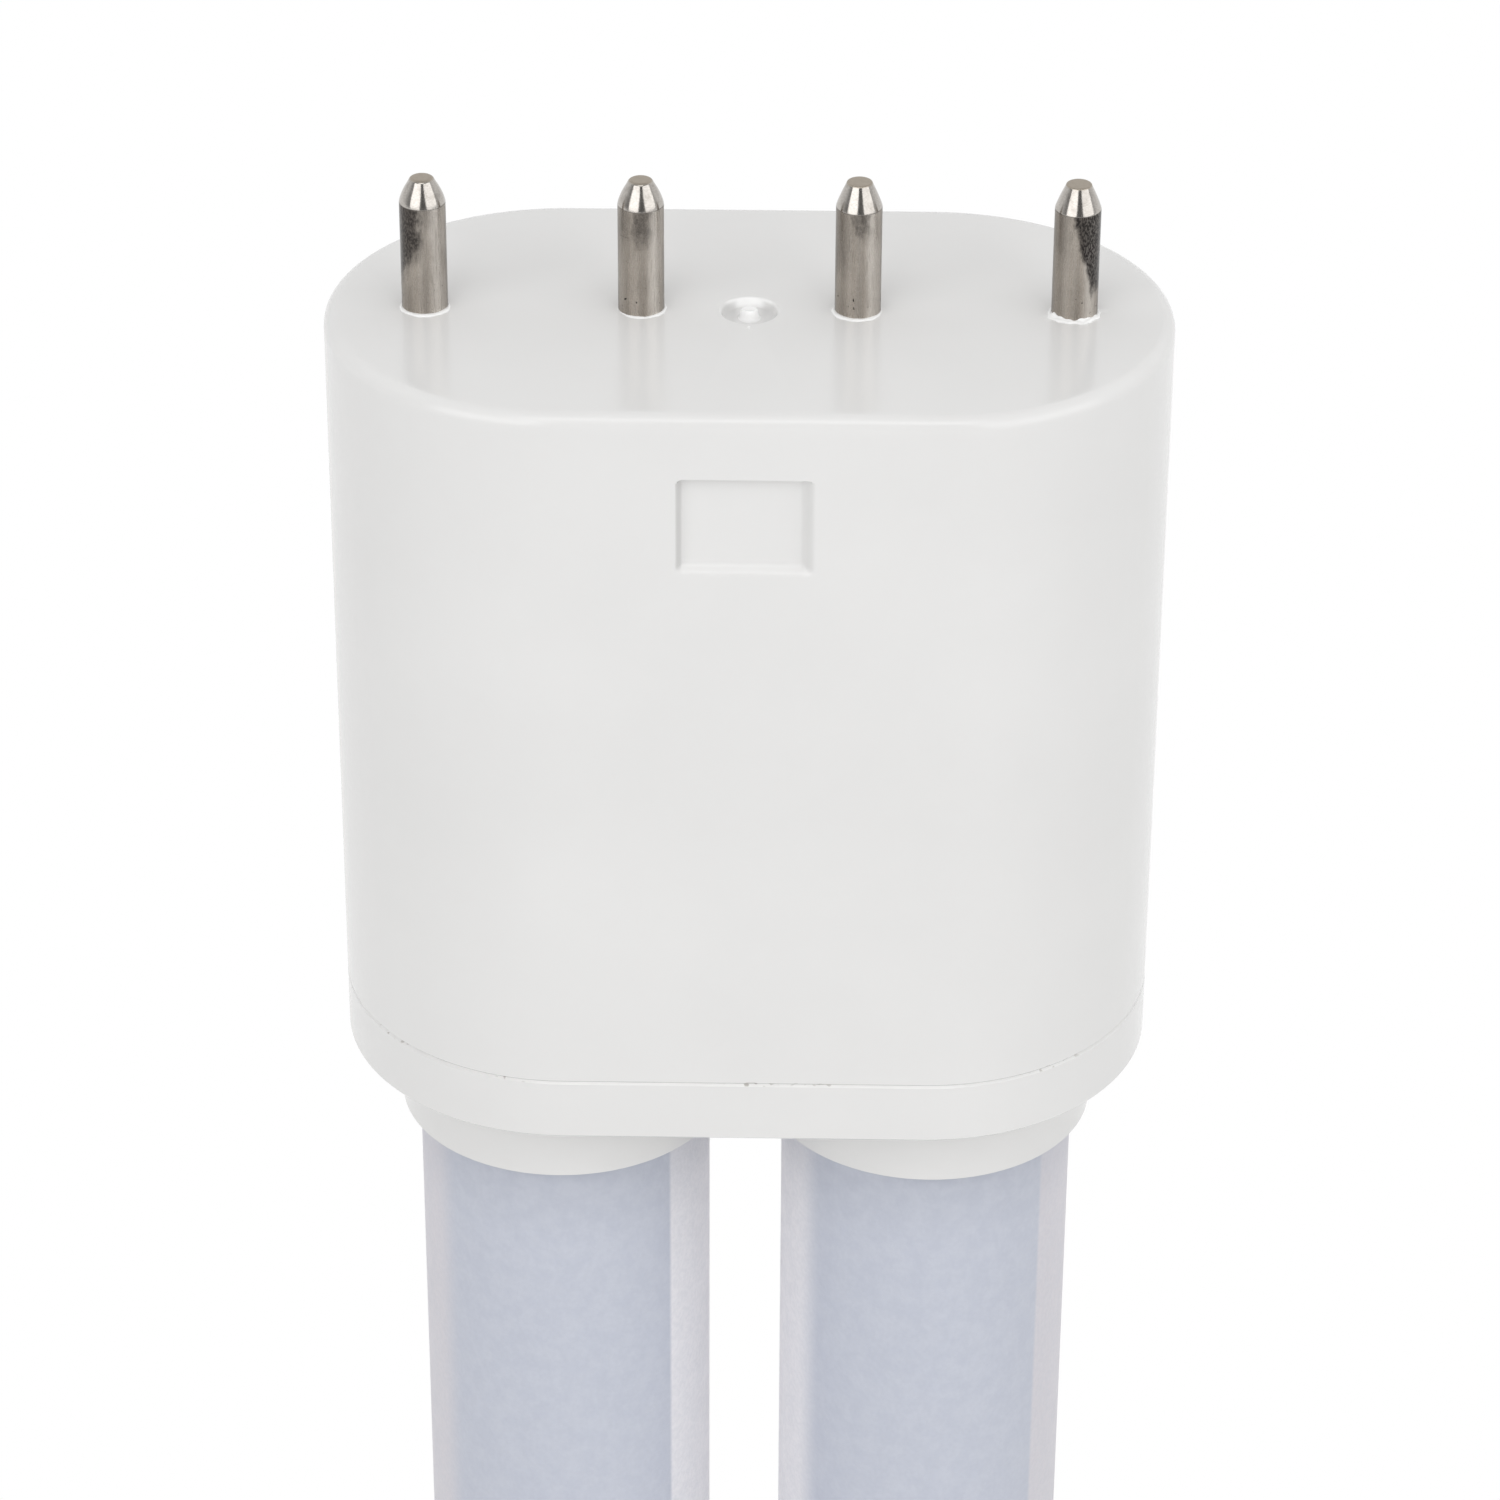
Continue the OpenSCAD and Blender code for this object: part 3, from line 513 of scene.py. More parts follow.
@dataclass(frozen=True)
class HousingPlastic(Finish):
    """White moulded plastic with dark specks along the seam.

    The darker places on the side slopes of the recesses and the gate mark are painted shade, and the whiter
    rings, pip and far wall of the gate mark are painted highlight. The darker and whiter places follow the
    photograph's tones. Part of what they show there may be its light.

    Attributes:
        seam_z: Height of the seam in millimetres.
        face_z: Height of the pin face.
        gate_forward: Distance of the gate mark in front of the pin row.
        tone: Colour of the plastic.
        second: Colour of its faint clouds.
        painted_highlight: Whiter colour of the rings, the pip and the far wall of the gate mark, a painted
            highlight.
        dim: Dark colour that is mixed in on the side slopes, a painted shade.
        speck: Colour of the specks in the seam.
        slope_rows: Lower and upper end of the recess's side slopes, below the pin face.
        left_slope: Both ends of its left slope along X, seen from the recess's own side.
        right_slope: Both ends of its right slope, seen in the same way.
        left_share: Part of the painted shade on the left slope.
        right_share: Part of the painted shade on the right slope.
        dish_share: Part of the painted shade on the sides of the gate mark.
    """

    seam_z: float
    face_z: float
    gate_forward: float
    tone: Colour = (0.812, 0.808, 0.800)
    second: Colour = (0.762, 0.758, 0.750)
    painted_highlight: Colour = (0.94, 0.94, 0.935)
    dim: Colour = (0.50, 0.495, 0.485)
    speck: Colour = (0.36, 0.33, 0.30)
    slope_rows: tuple[float, float] = (8.5, 3.6)
    left_slope: tuple[float, float] = (-3.44, -3.20)
    right_slope: tuple[float, float] = (2.80, 3.38)
    left_share: float = 0.42
    right_share: float = 0.16
    dish_share: float = 0.34

    def from_gate(self, made: Shader) -> Socket:
        """Distance from the axis of the gate mark, in millimetres."""
        x, y, _ = made.position()
        return made.distance(x, made.math("ADD", y, self.gate_forward))

    def near_face(self, made: Shader, z: Socket) -> Socket:
        """One at the pin face and in the gate mark, nothing further down."""
        return made.ramp(z, self.face_z - 1.0, self.face_z - 0.8)

    def painted_highlight_places(self, made: Shader) -> Socket:
        """Share of the painted highlight: the rings, the pip and the far wall of the gate mark."""
        _, y, z = made.position()
        away = self.from_gate(made)
        proud = made.ramp(z, self.face_z + 0.01, self.face_z + 0.035)
        pip = made.ramp(away, 0.56, 0.60, 1.0, 0.0)
        far_wall = made.product(made.window(away, 1.20, 1.52, 0.05), made.ramp(y, 0.45, 0.95))
        in_gate = made.product(made.math("MAXIMUM", pip, far_wall), self.near_face(made, z))
        return made.math("MAXIMUM", proud, in_gate)

    def painted_shade_places(self, made: Shader) -> Socket:
        """Share of the painted shade: side slopes of the latch recesses and of the gate mark.

        Args:
            made: The shader.

        Returns:
            Its share at each place.
        """
        x, y, z = made.position()
        across = made.product(x, made.math("SIGN", y), -1.0)
        foot, top = self.slope_rows
        in_rows = made.window(z, self.face_z - foot, self.face_z - top, 0.15)
        left = made.product(made.window(across, *self.left_slope, 0.06), self.left_share)
        right = made.product(made.window(across, *self.right_slope, 0.10), self.right_share)
        sunk = made.ramp(z, self.face_z - 0.20, self.face_z - 0.04, 1.0, 0.0)
        beside = made.ramp(made.math("ABSOLUTE", x), 0.50, 0.85)
        in_dish = made.ramp(self.from_gate(made), 1.60, 1.80, 1.0, 0.0)
        dish = made.product(sunk, self.near_face(made, z), beside, in_dish, self.dish_share)
        return made.math("ADD", made.product(made.math("ADD", left, right), in_rows), dish)

    def wire(self, made: Shader) -> None:
        """Wires the finish."""
        grain = made.noise(0.25, 1.0)
        near_seam = made.window(made.position()[2], self.seam_z - 0.1, self.seam_z + 0.14, 0.04)
        dots = made.ramp(made.noise(0.22, 0.0, (1.8, 1, 1)), 0.60, 0.72)
        groups = made.ramp(made.noise(7.0, 1.0), 0.5, 0.6)
        plain = made.mix(made.noise(9.0, 3.0), self.tone, self.second)
        # painted highlight: whiter rings, pip and far wall of the gate mark
        plain = made.mix(self.painted_highlight_places(made), plain, self.painted_highlight)
        # painted shade: darker side slopes of the latch recesses and of the gate mark
        plain = made.mix(self.painted_shade_places(made), plain, self.dim)
        made.set(
            Base_Color=made.mix(made.product(dots, near_seam, groups), plain, self.speck),
            Roughness=made.ramp(grain, *GRAIN_SPREAD, 0.15, 0.22),
            IOR=1.5,
        )
        waves = made.product(made.noise(2.4, 0.0), 6.0)
        made.bump(made.math("ADD", grain, waves), 0.0012)


@dataclass(frozen=True)
class FrostedGlass(Finish):
    """Frosted tube wall, with the LED board showing through it and its shade painted in, painted light on the
    side that faces the other tube and painted shade towards the collar.

    Attributes:
        axis_x: X of the tube's axis in millimetres.
        socket_z: Height at which the tube enters the collar.
        led_first_z: Height of the lowest LED.
        inner: Side that faces the other tube, 1 for +X and -1 for -X.
        board_half: Half the width of the band in front of the board.
        glow_radius: Radius of the warmer spot in front of an LED.
        clear: Colour where nothing lies behind the wall.
        lit: Lighter colour there on the inner side, painted light where the other tube shades the wall.
        board: Colour in front of the board: the board seen through the wall, with the shade that it casts
            painted in.
        warm: Colour in front of an LED.
        collar_shade: Darker colour that is mixed in towards the collar, a painted shade of the collar.
        cloud: Lighter colour of the clouds.
        powder: Darker colour of the fine grain.
    """

    axis_x: float
    socket_z: float
    led_first_z: float
    inner: float
    board_half: float = 6.25
    glow_radius: float = 3.0
    clear: Colour = (0.680, 0.662, 0.705)
    lit: Colour = (0.860, 0.850, 0.880)
    board: Colour = (0.552, 0.580, 0.665)
    warm: Colour = (0.600, 0.585, 0.520)
    collar_shade: Colour = (0.42, 0.44, 0.50)
    cloud: Colour = (0.72, 0.74, 0.79)
    powder: Colour = (0.42, 0.44, 0.52)

    def wire(self, made: Shader) -> None:
        """Wires the finish."""
        x, y, z = made.position()
        across = made.math("SUBTRACT", x, self.axis_x)
        # the board seen through the wall, with its shade painted in as a darker band
        band_left = made.ramp(across, -(self.board_half + 0.75), -(self.board_half - 0.55))
        right_edge = self.board_half - (0.3 if self.inner > 0 else 0.0)
        band_right = made.ramp(across, right_edge - 0.1, right_edge + 0.1, 1.0, 0.0)
        # painted light: lighter colour on the side that faces the other tube, which shades it
        inner = made.ramp(made.product(across, self.inner), 0.0, 5.0)
        beside_band = made.mix(inner, self.clear, self.lit)
        base = made.mix(made.product(band_left, band_right), beside_band, self.board)

        off_led = above_led(made, z, self.led_first_z)
        squared = made.math("ADD", made.product(off_led, off_led), made.product(across, across))
        glow = made.ramp(squared, 0.0, self.glow_radius**2, 1.0, 0.0)
        base = made.mix(made.product(glow, made.ramp(y, 0.0, 2.0)), base, self.warm)

        # painted shade: darker towards the collar, in the collar's shade
        near_socket = made.ramp(z, self.socket_z - 6.0, self.socket_z, 0.0, 0.36)
        base = made.mix(near_socket, base, self.collar_shade)
        clouds = made.ramp(made.noise(1.0, 5.0), *CLOUD_SPREAD)
        powder = made.ramp(made.noise(0.26, 2.0), *GRAIN_SPREAD)
        base = made.mix(made.product(clouds, 0.17), base, self.cloud)
        base = made.mix(made.product(powder, 0.12), base, self.powder)
        made.set(Base_Color=base, Roughness=made.ramp(clouds, 0.0, 1.0, 0.42, 0.52), IOR=1.45)
        made.bump(powder, 0.006)


@dataclass(frozen=True)
class Stain:
    """Dark patch on a pin, from the cone down to its own lower end.

    Attributes:
        turn: Direction of its middle, in degrees from -Y towards +X.
        spread: Half its width in degrees.
        foot: Its lower end above the pin face in millimetres.
        slant: How fast the lower end climbs to the right, or to the left if less than nothing.
        depth: Darkness from 0 to 1.
        blur: Softness of its edges, where 1 is soft.
    """

    turn: float
    spread: float
    foot: float
    slant: float
    depth: float
    blur: float = 1.0


@dataclass(frozen=True)
class NickelPlate(Finish):
    """Nickel-plated pin: brushed and patchy on the shank, bright on the turned cone.

    Attributes:
        axis_x: X of the pin's axis.
        face_z: Height of the pin face.
        cone_z: Height at which the cone starts.
        tip_z: Height of the flat tip.
        stains: Dark patches.
        scratch: Height of a scratch round the left side above the pin face, or nothing.
        tone: Colour of the shank.
        band: Lighter colour of its turned bands.
        painted_sheen: Lighter colour on its right side, a painted sheen.
        rim: Darker colour at its outer edges, a painted dark reflection of the surroundings.
        cloud: Darker colour of its clouds.
        brush: Colour of its brush marks.
        fleck: Colour of its light flecks.
        bright: Colours of the turned cone's grain.
        dulled: Colour of duller spots on the cone.
        beige: Colours of the flat tip.
        tarnish: Colour of the dark patches, pits and scratches.
    """

    axis_x: float
    face_z: float
    cone_z: float
    tip_z: float
    stains: tuple[Stain, ...]
    scratch: float = 0.0
    tone: Colour = (0.365, 0.325, 0.282)
    band: Colour = (0.54, 0.50, 0.455)
    painted_sheen: Colour = (0.680, 0.640, 0.590)
    rim: Colour = (0.12, 0.105, 0.09)
    cloud: Colour = (0.22, 0.195, 0.17)
    brush: Colour = (0.18, 0.16, 0.14)
    fleck: Colour = (0.64, 0.60, 0.56)
    bright: tuple[Colour, Colour] = ((0.520, 0.492, 0.460), (0.44, 0.415, 0.385))
    dulled: Colour = (0.24, 0.215, 0.19)
    beige: tuple[Colour, Colour] = ((0.375, 0.330, 0.275), (0.46, 0.41, 0.345))
    tarnish: Colour = (0.030, 0.027, 0.026)

    def patch(self, made: Shader, stain: Stain, turn: Socket, height: Socket) -> Socket:
        """One dark patch with a soft, grainy edge.

        Args:
            made: The shader.
            stain: The patch.
            turn: Direction round the pin in radians.
            height: Height above the pin face in millimetres.

        Returns:
            Its darkness at each place.
        """
        middle, half = math.radians(stain.turn), math.radians(stain.spread)
        torn = made.math("SUBTRACT", made.noise(0.35, 4.0, (1, 1, 1.8)), 0.5)
        around = made.math("ADD", turn, made.product(torn, 0.8))
        climb = made.math("MAXIMUM", made.product(made.math("SUBTRACT", turn, middle), stain.slant), 0.0)
        level = made.math("ADD", made.math("SUBTRACT", height, climb), made.product(torn, 1.6))
        across = made.window(around, middle - half, middle + half, 0.28 * stain.blur)
        along = made.ramp(level, stain.foot - 0.9 * stain.blur, stain.foot + 0.5 * stain.blur)
        mottle = made.ramp(made.noise(0.075, 2.0, (1, 1, 2.2)), 0.34, 0.60, 0.78, 1.0)
        return made.product(across, along, mottle, stain.depth)

    def shank(self, made: Shader, turn: Socket, brushed: Socket, speckle: Socket) -> Socket:
        """Colour of the shank without its dark patches, with its painted sheen and its painted dark edge
        reflections.

        Args:
            made: The shader.
            turn: Direction round the pin in radians.
            brushed: The brush marks.
            speckle: The fine flecks.

        Returns:
            The colour.
        """
        wobble = made.product(made.math("SUBTRACT", made.noise(0.8, 2.0, (1, 1, 3)), 0.5), 0.5)
        side = made.math("ADD", turn, wobble)
        # painted reflection: darker sides of the shank, left and right as seen from the front
        outer = made.math("MAXIMUM", made.ramp(side, -1.45, -1.05, 1.0, 0.0), made.ramp(side, 1.12, 1.40))
        layers = (
            (made.ramp(made.noise(0.50, 1.0, (1, 1, 60)), *CLOUD_SPREAD), 0.30, self.band),
            # painted sheen: lighter band on the right side of the shank
            (made.window(side, math.radians(22), math.radians(58), 0.22), 0.75, self.painted_sheen),
            (outer, 0.55, self.rim),
            (made.ramp(made.noise(1.3, 3.0, (1, 1, 1.6)), 0.42, 0.72), 0.22, self.cloud),
            (made.ramp(brushed, 0.50, 0.72), 0.30, self.brush),
            (speckle, 0.14, self.fleck),
        )
        colour: Input = self.tone
        for place, strength, over in layers:
            colour = made.mix(made.product(place, strength), colour, over)
        return colour

    def pits(self, made: Shader, turn: Socket, height: Socket) -> Socket:
        """Pits near the foot, the line under the cone and the scratch.

        Args:
            made: The shader.
            turn: Direction round the pin in radians.
            height: Height above the pin face in millimetres.

        Returns:
            Their depth at each place.
        """
        dots = made.ramp(made.noise(0.20, 1.0), 0.70, 0.76)
        cone_foot = self.cone_z - self.face_z
        joint = made.window(height, cone_foot - 0.06, cone_foot - 0.01, 0.03)
        low_down = made.window(height, 0.4, 1.7, 0.3)
        result = made.math("MAXIMUM", made.product(dots, low_down), made.product(joint, 0.7))
        if self.scratch:
            ring = made.window(height, self.scratch - 0.02, self.scratch + 0.02, 0.03)
            broken = made.ramp(made.noise(0.25, 1.0), 0.38, 0.55)
            line = made.product(ring, broken, made.window(turn, -1.3, 0.1, 0.3), 0.6)
            result = made.math("MAXIMUM", result, line)
        return result

    def wire(self, made: Shader) -> None:
        """Wires the finish."""
        x, y, z = made.position()
        turn = made.math("ARCTAN2", made.math("SUBTRACT", x, self.axis_x), made.product(y, -1.0))
        height = made.math("SUBTRACT", z, self.face_z)
        on_shank = made.ramp(z, self.cone_z - 0.05, self.cone_z + 0.02, 1.0, 0.0)
        on_tip = made.ramp(z, self.tip_z - 0.10, self.tip_z - 0.03)
        brushed = made.noise(0.09, 2.0, (1, 1, 14))
        speckle = made.ramp(made.noise(0.06, 1.0), *CLOUD_SPREAD)
        dark = self.patch(made, self.stains[0], turn, height)
        for stain in self.stains[1:]:
            dark = made.math("MAXIMUM", dark, self.patch(made, stain, turn, height))
        pitted = self.pits(made, turn, height)
        shank = self.shank(made, turn, brushed, speckle)
        shank = made.mix(made.math("MAXIMUM", dark, pitted), shank, self.tarnish)
        cone = made.mix(made.ramp(made.noise(0.12, 1.0, (1, 1, 0.3)), *GRAIN_SPREAD), *self.bright)
        cone = made.mix(made.product(made.ramp(made.noise(0.5, 3.0), 0.5, 0.7), 0.30), cone, self.dulled)
        tip = made.mix(made.noise(0.2, 2.0), *self.beige)

        rough = made.blend(on_shank, 0.16, made.ramp(brushed, *GRAIN_SPREAD, 0.22, 0.36))
        rough = made.blend(on_tip, rough, 0.42)
        made.set(
            Base_Color=made.mix(on_tip, made.mix(on_shank, cone, shank), tip),
            Metallic=1.0,
            Roughness=made.blend(made.product(dark, on_shank), rough, 0.22),
        )
        relief = made.product(made.math("ADD", brushed, made.product(speckle, 0.4)), on_shank)
        made.bump(made.math("SUBTRACT", relief, made.product(pitted, on_shank)), 0.006)


class Skin:
    """A mesh that is grown ring by ring."""

    def __init__(self) -> None:
        """Starts with no rings."""
        self.mesh = bmesh.new()

    def ring(self, points: Iterable[Vector]) -> list[bmesh.types.BMVert]:
        """Adds a ring of points given in millimetres."""
        return [self.mesh.verts.new(point * MM) for point in points]

    def join(self, first: Sequence[bmesh.types.BMVert], second: Sequence[bmesh.types.BMVert]) -> None:
        """Closes the gap between two rings of the same length with quads.

        Args:
            first: One ring.
            second: The other ring.
        """
        for i, corner in enumerate(first):
            after = (i + 1) % len(first)
            self.mesh.faces.new((corner, first[after], second[after], second[i]))

    def stack(self, rings: Iterable[Iterable[Vector]]) -> list[list[bmesh.types.BMVert]]:
        """Adds rings one after another and joins each to the one before.

        Args:
            rings: The rings' points in order.

        Returns:
            The rings as mesh points.
        """
        made = [self.ring(points) for points in rings]
        for first, second in zip(made, made[1:]):
            self.join(first, second)
        return made

    def fill(self, rings: Iterable[Sequence[bmesh.types.BMVert]]) -> None:
        """Fills a flat face that has an outer ring and any number of holes."""
        edges = []
        for ring in rings:
            for i, corner in enumerate(ring):
                pair = (corner, ring[(i + 1) % len(ring)])
                edges.append(self.mesh.edges.get(pair) or self.mesh.edges.new(pair))
        bmesh.ops.triangle_fill(self.mesh, use_beauty=True, edges=edges, normal=(0, 0, 1))

    def box(self, low: Vector, high: Vector) -> None:
        """Adds a closed block between two corners given in millimetres."""
        made = bmesh.ops.create_cube(self.mesh, size=1.0)
        middle = (low + high) / 2
        spread = high - low
        for point in made["verts"]:
            point.co = (middle + Vector(point.co[i] * spread[i] for i in range(3))) * MM

    def finish(self, name: str, material: bpy.types.Material, sharp: float = 32.0) -> bpy.types.Object:
        """Turns the skin into an object with smooth shading and sharp corners.

        Args:
            name: The piece's name.
            material: Its material.
            sharp: Corners above this angle in degrees stay sharp.

        Returns:
            The new object.
        """
        bmesh.ops.recalc_face_normals(self.mesh, faces=self.mesh.faces)
        data = bpy.data.meshes.new(name)
        self.mesh.to_mesh(data)
        self.mesh.free()
        data.shade_smooth()
        data.set_sharp_from_angle(angle=math.radians(sharp))
        data.materials.append(material)
        piece = bpy.data.objects.new(name, data)
        bpy.context.scene.collection.objects.link(piece)
        return piece


def circle(x: float, y: float, radius: Callable[[float], float], z: Callable[[float], float],
           parts: int = 64) -> list[Vector]:
    """Round ring whose radius and height may change with the angle.

    Args:
        x: X of its middle.
        y: Y of its middle.
        radius: Radius at an angle in radians.
        z: Height at an angle in radians.
        parts: Number of points.

    Returns:
        Its points.
    """
    angles = [2 * math.pi * i / parts for i in range(parts)]
    return [Vector((x + radius(a) * math.cos(a), y + radius(a) * math.sin(a), z(a))) for a in angles]


def hoop(x: float, y: float, radius: float, z: float, parts: int = 64) -> list[Vector]:
    """Level round ring.

    Args:
        x: X of its middle.
        y: Y of its middle.
        radius: Its radius.
        z: Its height.
        parts: Number of points.

    Returns:
        Its points.
    """
    return circle(x, y, lambda _: radius, lambda _: z, parts)


@dataclass(frozen=True)
class Station:
    """One place on the cap's round-ended outline.

    Attributes:
        spine: X of the spine point that the outline is measured from.
        turn: Direction from there, in degrees from -Y towards +X.
    """

    spine: float
    turn: float

    def point(self, reach: float, z: float) -> Vector:
        """The point at a distance from the spine and a height."""
        angle = math.radians(self.turn)
        return Vector((self.spine + reach * math.sin(angle), -reach * math.cos(angle), z))


@dataclass
class LatchRecess:
    """Shallow pocket in each broad face that the lampholder's spring clicks into."""

    width: float = 6.95
    height: float = 5.4
    depth: float = 0.5
    drop: float = 3.42
    corner: float = 0.4
    left_slope: float = 0.3
    right_slope: float = 0.75
    foot_slope: float = 0.56
    top_slope: float = 0.14

    def sunk(self, x: float, below_face: float) -> float:
        """Depth of the pocket at a place on the face.

        Args:
            x: Distance from the middle of the face.
            below_face: Distance below the pin face.

        Returns:
            The depth there, nothing outside the pocket.
        """
        across = self.width / 2 - abs(x)
        above_foot = self.drop + self.height - below_face
        under_top = below_face - self.drop
        up = min(above_foot, under_top)
        if across <= 0 or up <= 0:
            return 0.0
        side = self.left_slope if x < 0 else self.right_slope
        end = self.foot_slope if above_foot < under_top else self.top_slope
        share = min(across / side, up / end)
        if across < self.corner and up < self.corner:
            out_x = self.corner - across
            out_z = self.corner - up
            gone = math.hypot(out_x, out_z)
            slope = (side * out_x**2 + end * out_z**2) / max(gone**2, 1e-9)
            share = min(share, (self.corner - gone) / slope)
        return self.depth * smooth(share)


@dataclass(frozen=True)
class Bead:
    """Raised ring of plastic round one pin.

    Attributes:
        facing: Side on which it is widest, in degrees from -Y towards +X.
        width: Width there in millimetres.
        height: Height there.
        ragged: How uneven it is.
        flash: Height to which plastic creeps up the pin.
    """

    facing: float
    width: float
    height: float
    ragged: float
    flash: float = 0.0

    def share(self, angle: float) -> float:
        """Part of the full width and height at an angle round the pin.

        Args:
            angle: Angle in radians from +X towards +Y.

        Returns:
            The share, from a quarter to one.
        """
        off = angle + math.pi / 2 - math.radians(self.facing)
        return 0.25 + 0.75 * smooth((math.cos(off) + 0.35) / 1.2)


@dataclass
class BaseCap:
    """White moulded cap: drafted wall, rounded pin face, recesses, gate mark and pin sleeves."""

    width: float = 43.3
    depth: float = 24.2
    wall: float = 1.6
    roof: float = 2.0
    draft: float = 0.12
    edge_radius: float = 0.7
    seam_bevel: float = 0.12
    pin_pitch: float = 11.0
    pin_radius: float = 1.175
    bead_top: float = 0.12
    beads: tuple[Bead, ...] = (
        Bead(0.0, 0.24, 0.085, 0.15),
        Bead(35.0, 0.15, 0.07, 0.20),
        Bead(-15.0, 0.23, 0.085, 0.15),
        Bead(-5.0, 0.32, 0.10, 0.35, 0.30),
    )
    sleeve_wall: float = 0.9
    sleeve_length: float = 5.0
    pip_oval: float = 0.82
    gate_forward: float = 0.2
    drip_place: tuple[float, float] = (0.0, -2.15)
    fine_step: float = 0.1
    round_parts: int = 64
    face_margin: float = 0.3
    bead_margin: float = 0.75
    bore_squeeze: float = 0.01
    rib_gap: float = 0.1
    rib_thick: float = 0.9
    rib_overlap: float = 0.7
    rib_rise: float = 9.0
    drip_parts: int = 16
    recess: LatchRecess = field(default_factory=LatchRecess)

    def __post_init__(self) -> None:
        """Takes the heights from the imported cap."""
        self.seam_z = low_corner("base_cap").z
        self.face_z = high_corner("base_cap").z - self.bead_top
        self.half_run = (self.width - self.depth) / 2
        self.end_radius = self.depth / 2
        self.dice = random.Random(11)

    def outside(self, z: float) -> float:
        """Distance from the spine to the drafted wall at a height."""
        fall = max(0.0, self.face_z - self.edge_radius - z)
        return self.end_radius + fall * math.tan(math.radians(self.draft))

    def columns(self) -> list[Station]:
        """Stations round the outline, close together at the recesses."""
        reach = self.recess.width / 2 + 0.3
        fine = steps(-reach, reach, round(2 * reach / self.fine_step))
        edge = steps(-self.half_run, -reach, 8)[:-1]
        straight = edge + fine + [-x for x in reversed(edge)]
        turns = steps(0.0, 180.0, self.round_parts)[1:-1]
        front = [Station(x, 0.0) for x in straight]
        right = [Station(self.half_run, turn) for turn in turns]
        back = [Station(-x, 180.0) for x in straight]
        left = [Station(-self.half_run, 180.0 + turn) for turn in turns]
        return front + right + back + left

    def wall_rows(self) -> list[tuple[float, float]]:
        """Rows up the outer wall and round the edge, as distance from the spine and height."""
        top = self.face_z - self.recess.drop
        foot = top - self.recess.height
        edge_z = self.face_z - self.edge_radius
        heights = steps(self.seam_z + self.seam_bevel, foot - 0.3, 18)[:-1]
        heights += steps(foot - 0.3, top - 0.3, round(self.recess.height / self.fine_step))[:-1]
        heights += steps(top - 0.3, top + 0.06, 24)
        heights += steps(top + 0.3, edge_z, 5)
        rows = [(self.outside(self.seam_z) - self.seam_bevel, self.seam_z)]
        rows += [(self.outside(z), z) for z in heights]
        for turn in steps(0.0, math.pi / 2, 10)[1:]:
            reach = self.end_radius - self.edge_radius + self.edge_radius * math.cos(turn)
            rows.append((reach, edge_z + self.edge_radius * math.sin(turn)))
        return rows

    def wall_ring(self, columns: Sequence[Station], reach: float, z: float) -> list[Vector]:
        """One row of the outer wall, with the recesses sunk into its straight stretches.

        Args:
            columns: Stations round the outline.
            reach: Distance from the spine.
            z: Height of the row.

        Returns:
            Its points.
        """
        points = []
        for place in columns:
            sunk = 0.0
            if place.turn in (0.0, 180.0):
                facing = 1 if place.turn == 0.0 else -1
                sunk = self.recess.sunk(facing * place.spine, self.face_z - z)
            points.append(place.point(reach - sunk, z))
        return points

    def uneven(self) -> Callable[[float], float]:
        """A wavy value round 0 that runs with the angle, as a moulded rim has."""
        phases = [self.dice.uniform(0, 2 * math.pi) for _ in range(4)]
        waves = ((2, 0.5), (5, 0.5), (9, 0.45), (15, 0.35))
        return lambda a: sum(size * math.sin(n * a + p) for (n, size), p in zip(waves, phases))

    def bead_and_bore(self, skin: Skin, x: float, bead: Bead) -> tuple[list, list]:
        """Raised ring round one pin, the bore through the roof and the sleeve under it.

        Args:
            skin: Mesh of the cap.
            x: X of the pin.
            bead: The raised ring.

        Returns:
            The ring in the pin face and the ring in the underside of the roof.
        """
        wide = self.uneven()
        high = self.uneven()

        def row(out: float, up: float, creep: float) -> list[Vector]:
            """Points of the bead at a share of its width and height."""
            return circle(
                x, 0.0,
                lambda a: self.pin_radius + out * bead.width * bead.share(a) * (1 + bead.ragged * wide(a)),
                lambda a: self.face_z + up * bead.height * bead.share(a) * (1 + bead.ragged * high(a))
                + creep * bead.flash * max(0.0, bead.share(a) - 0.5 + 0.3 * wide(a) - 0.2),
            )

        rings = [hoop(x, 0.0, self.pin_radius + self.bead_margin, self.face_z)]
        outside = ((1.06, 0.0, 0), (0.97, 0.25, 0), (0.85, 0.62, 0), (0.66, 0.9, 0))
        top = ((0.45, 1.0, 0), (0.25, 1.0, 0.3), (0.10, 0.97, 1.0), (-0.02, 0.9, 1.0))
        rings += [row(*step) for step in outside + top]
        sleeve_end = self.face_z - self.roof - self.sleeve_length
        bore = self.pin_radius - self.bore_squeeze
        around = self.pin_radius + self.sleeve_wall
        rings += [hoop(x, 0.0, bore, z) for z in (self.face_z - 0.1, sleeve_end)]
        rings += [hoop(x, 0.0, around, z) for z in (sleeve_end, self.face_z - self.roof)]
        made = skin.stack(rings)
        return made[0], made[-1]

    def gate_mark(self, skin: Skin) -> list:
        """Dished gate mark, with the oval pip in its middle.

        Args:
            skin: Mesh of the cap.

        Returns:
            The ring in the pin face.
        """
        rim = ((1.85, 0.0), (1.58, 0.0), (1.54, -0.006), (1.50, -0.03), (1.45, -0.075))
        wall = ((1.39, -0.18), (1.33, -0.29), (1.28, -0.36), (1.21, -0.40))
        bowl = ((1.08, -0.42), (0.92, -0.432), (0.77, -0.44), (0.66, -0.442), (0.60, -0.425))
        post = ((0.545, -0.38), (0.50, -0.24), (0.46, -0.09), (0.43, 0.02), (0.40, 0.065), (0.36, 0.08),
                (0.30, 0.07), (0.16, 0.03))
        torn = self.uneven()

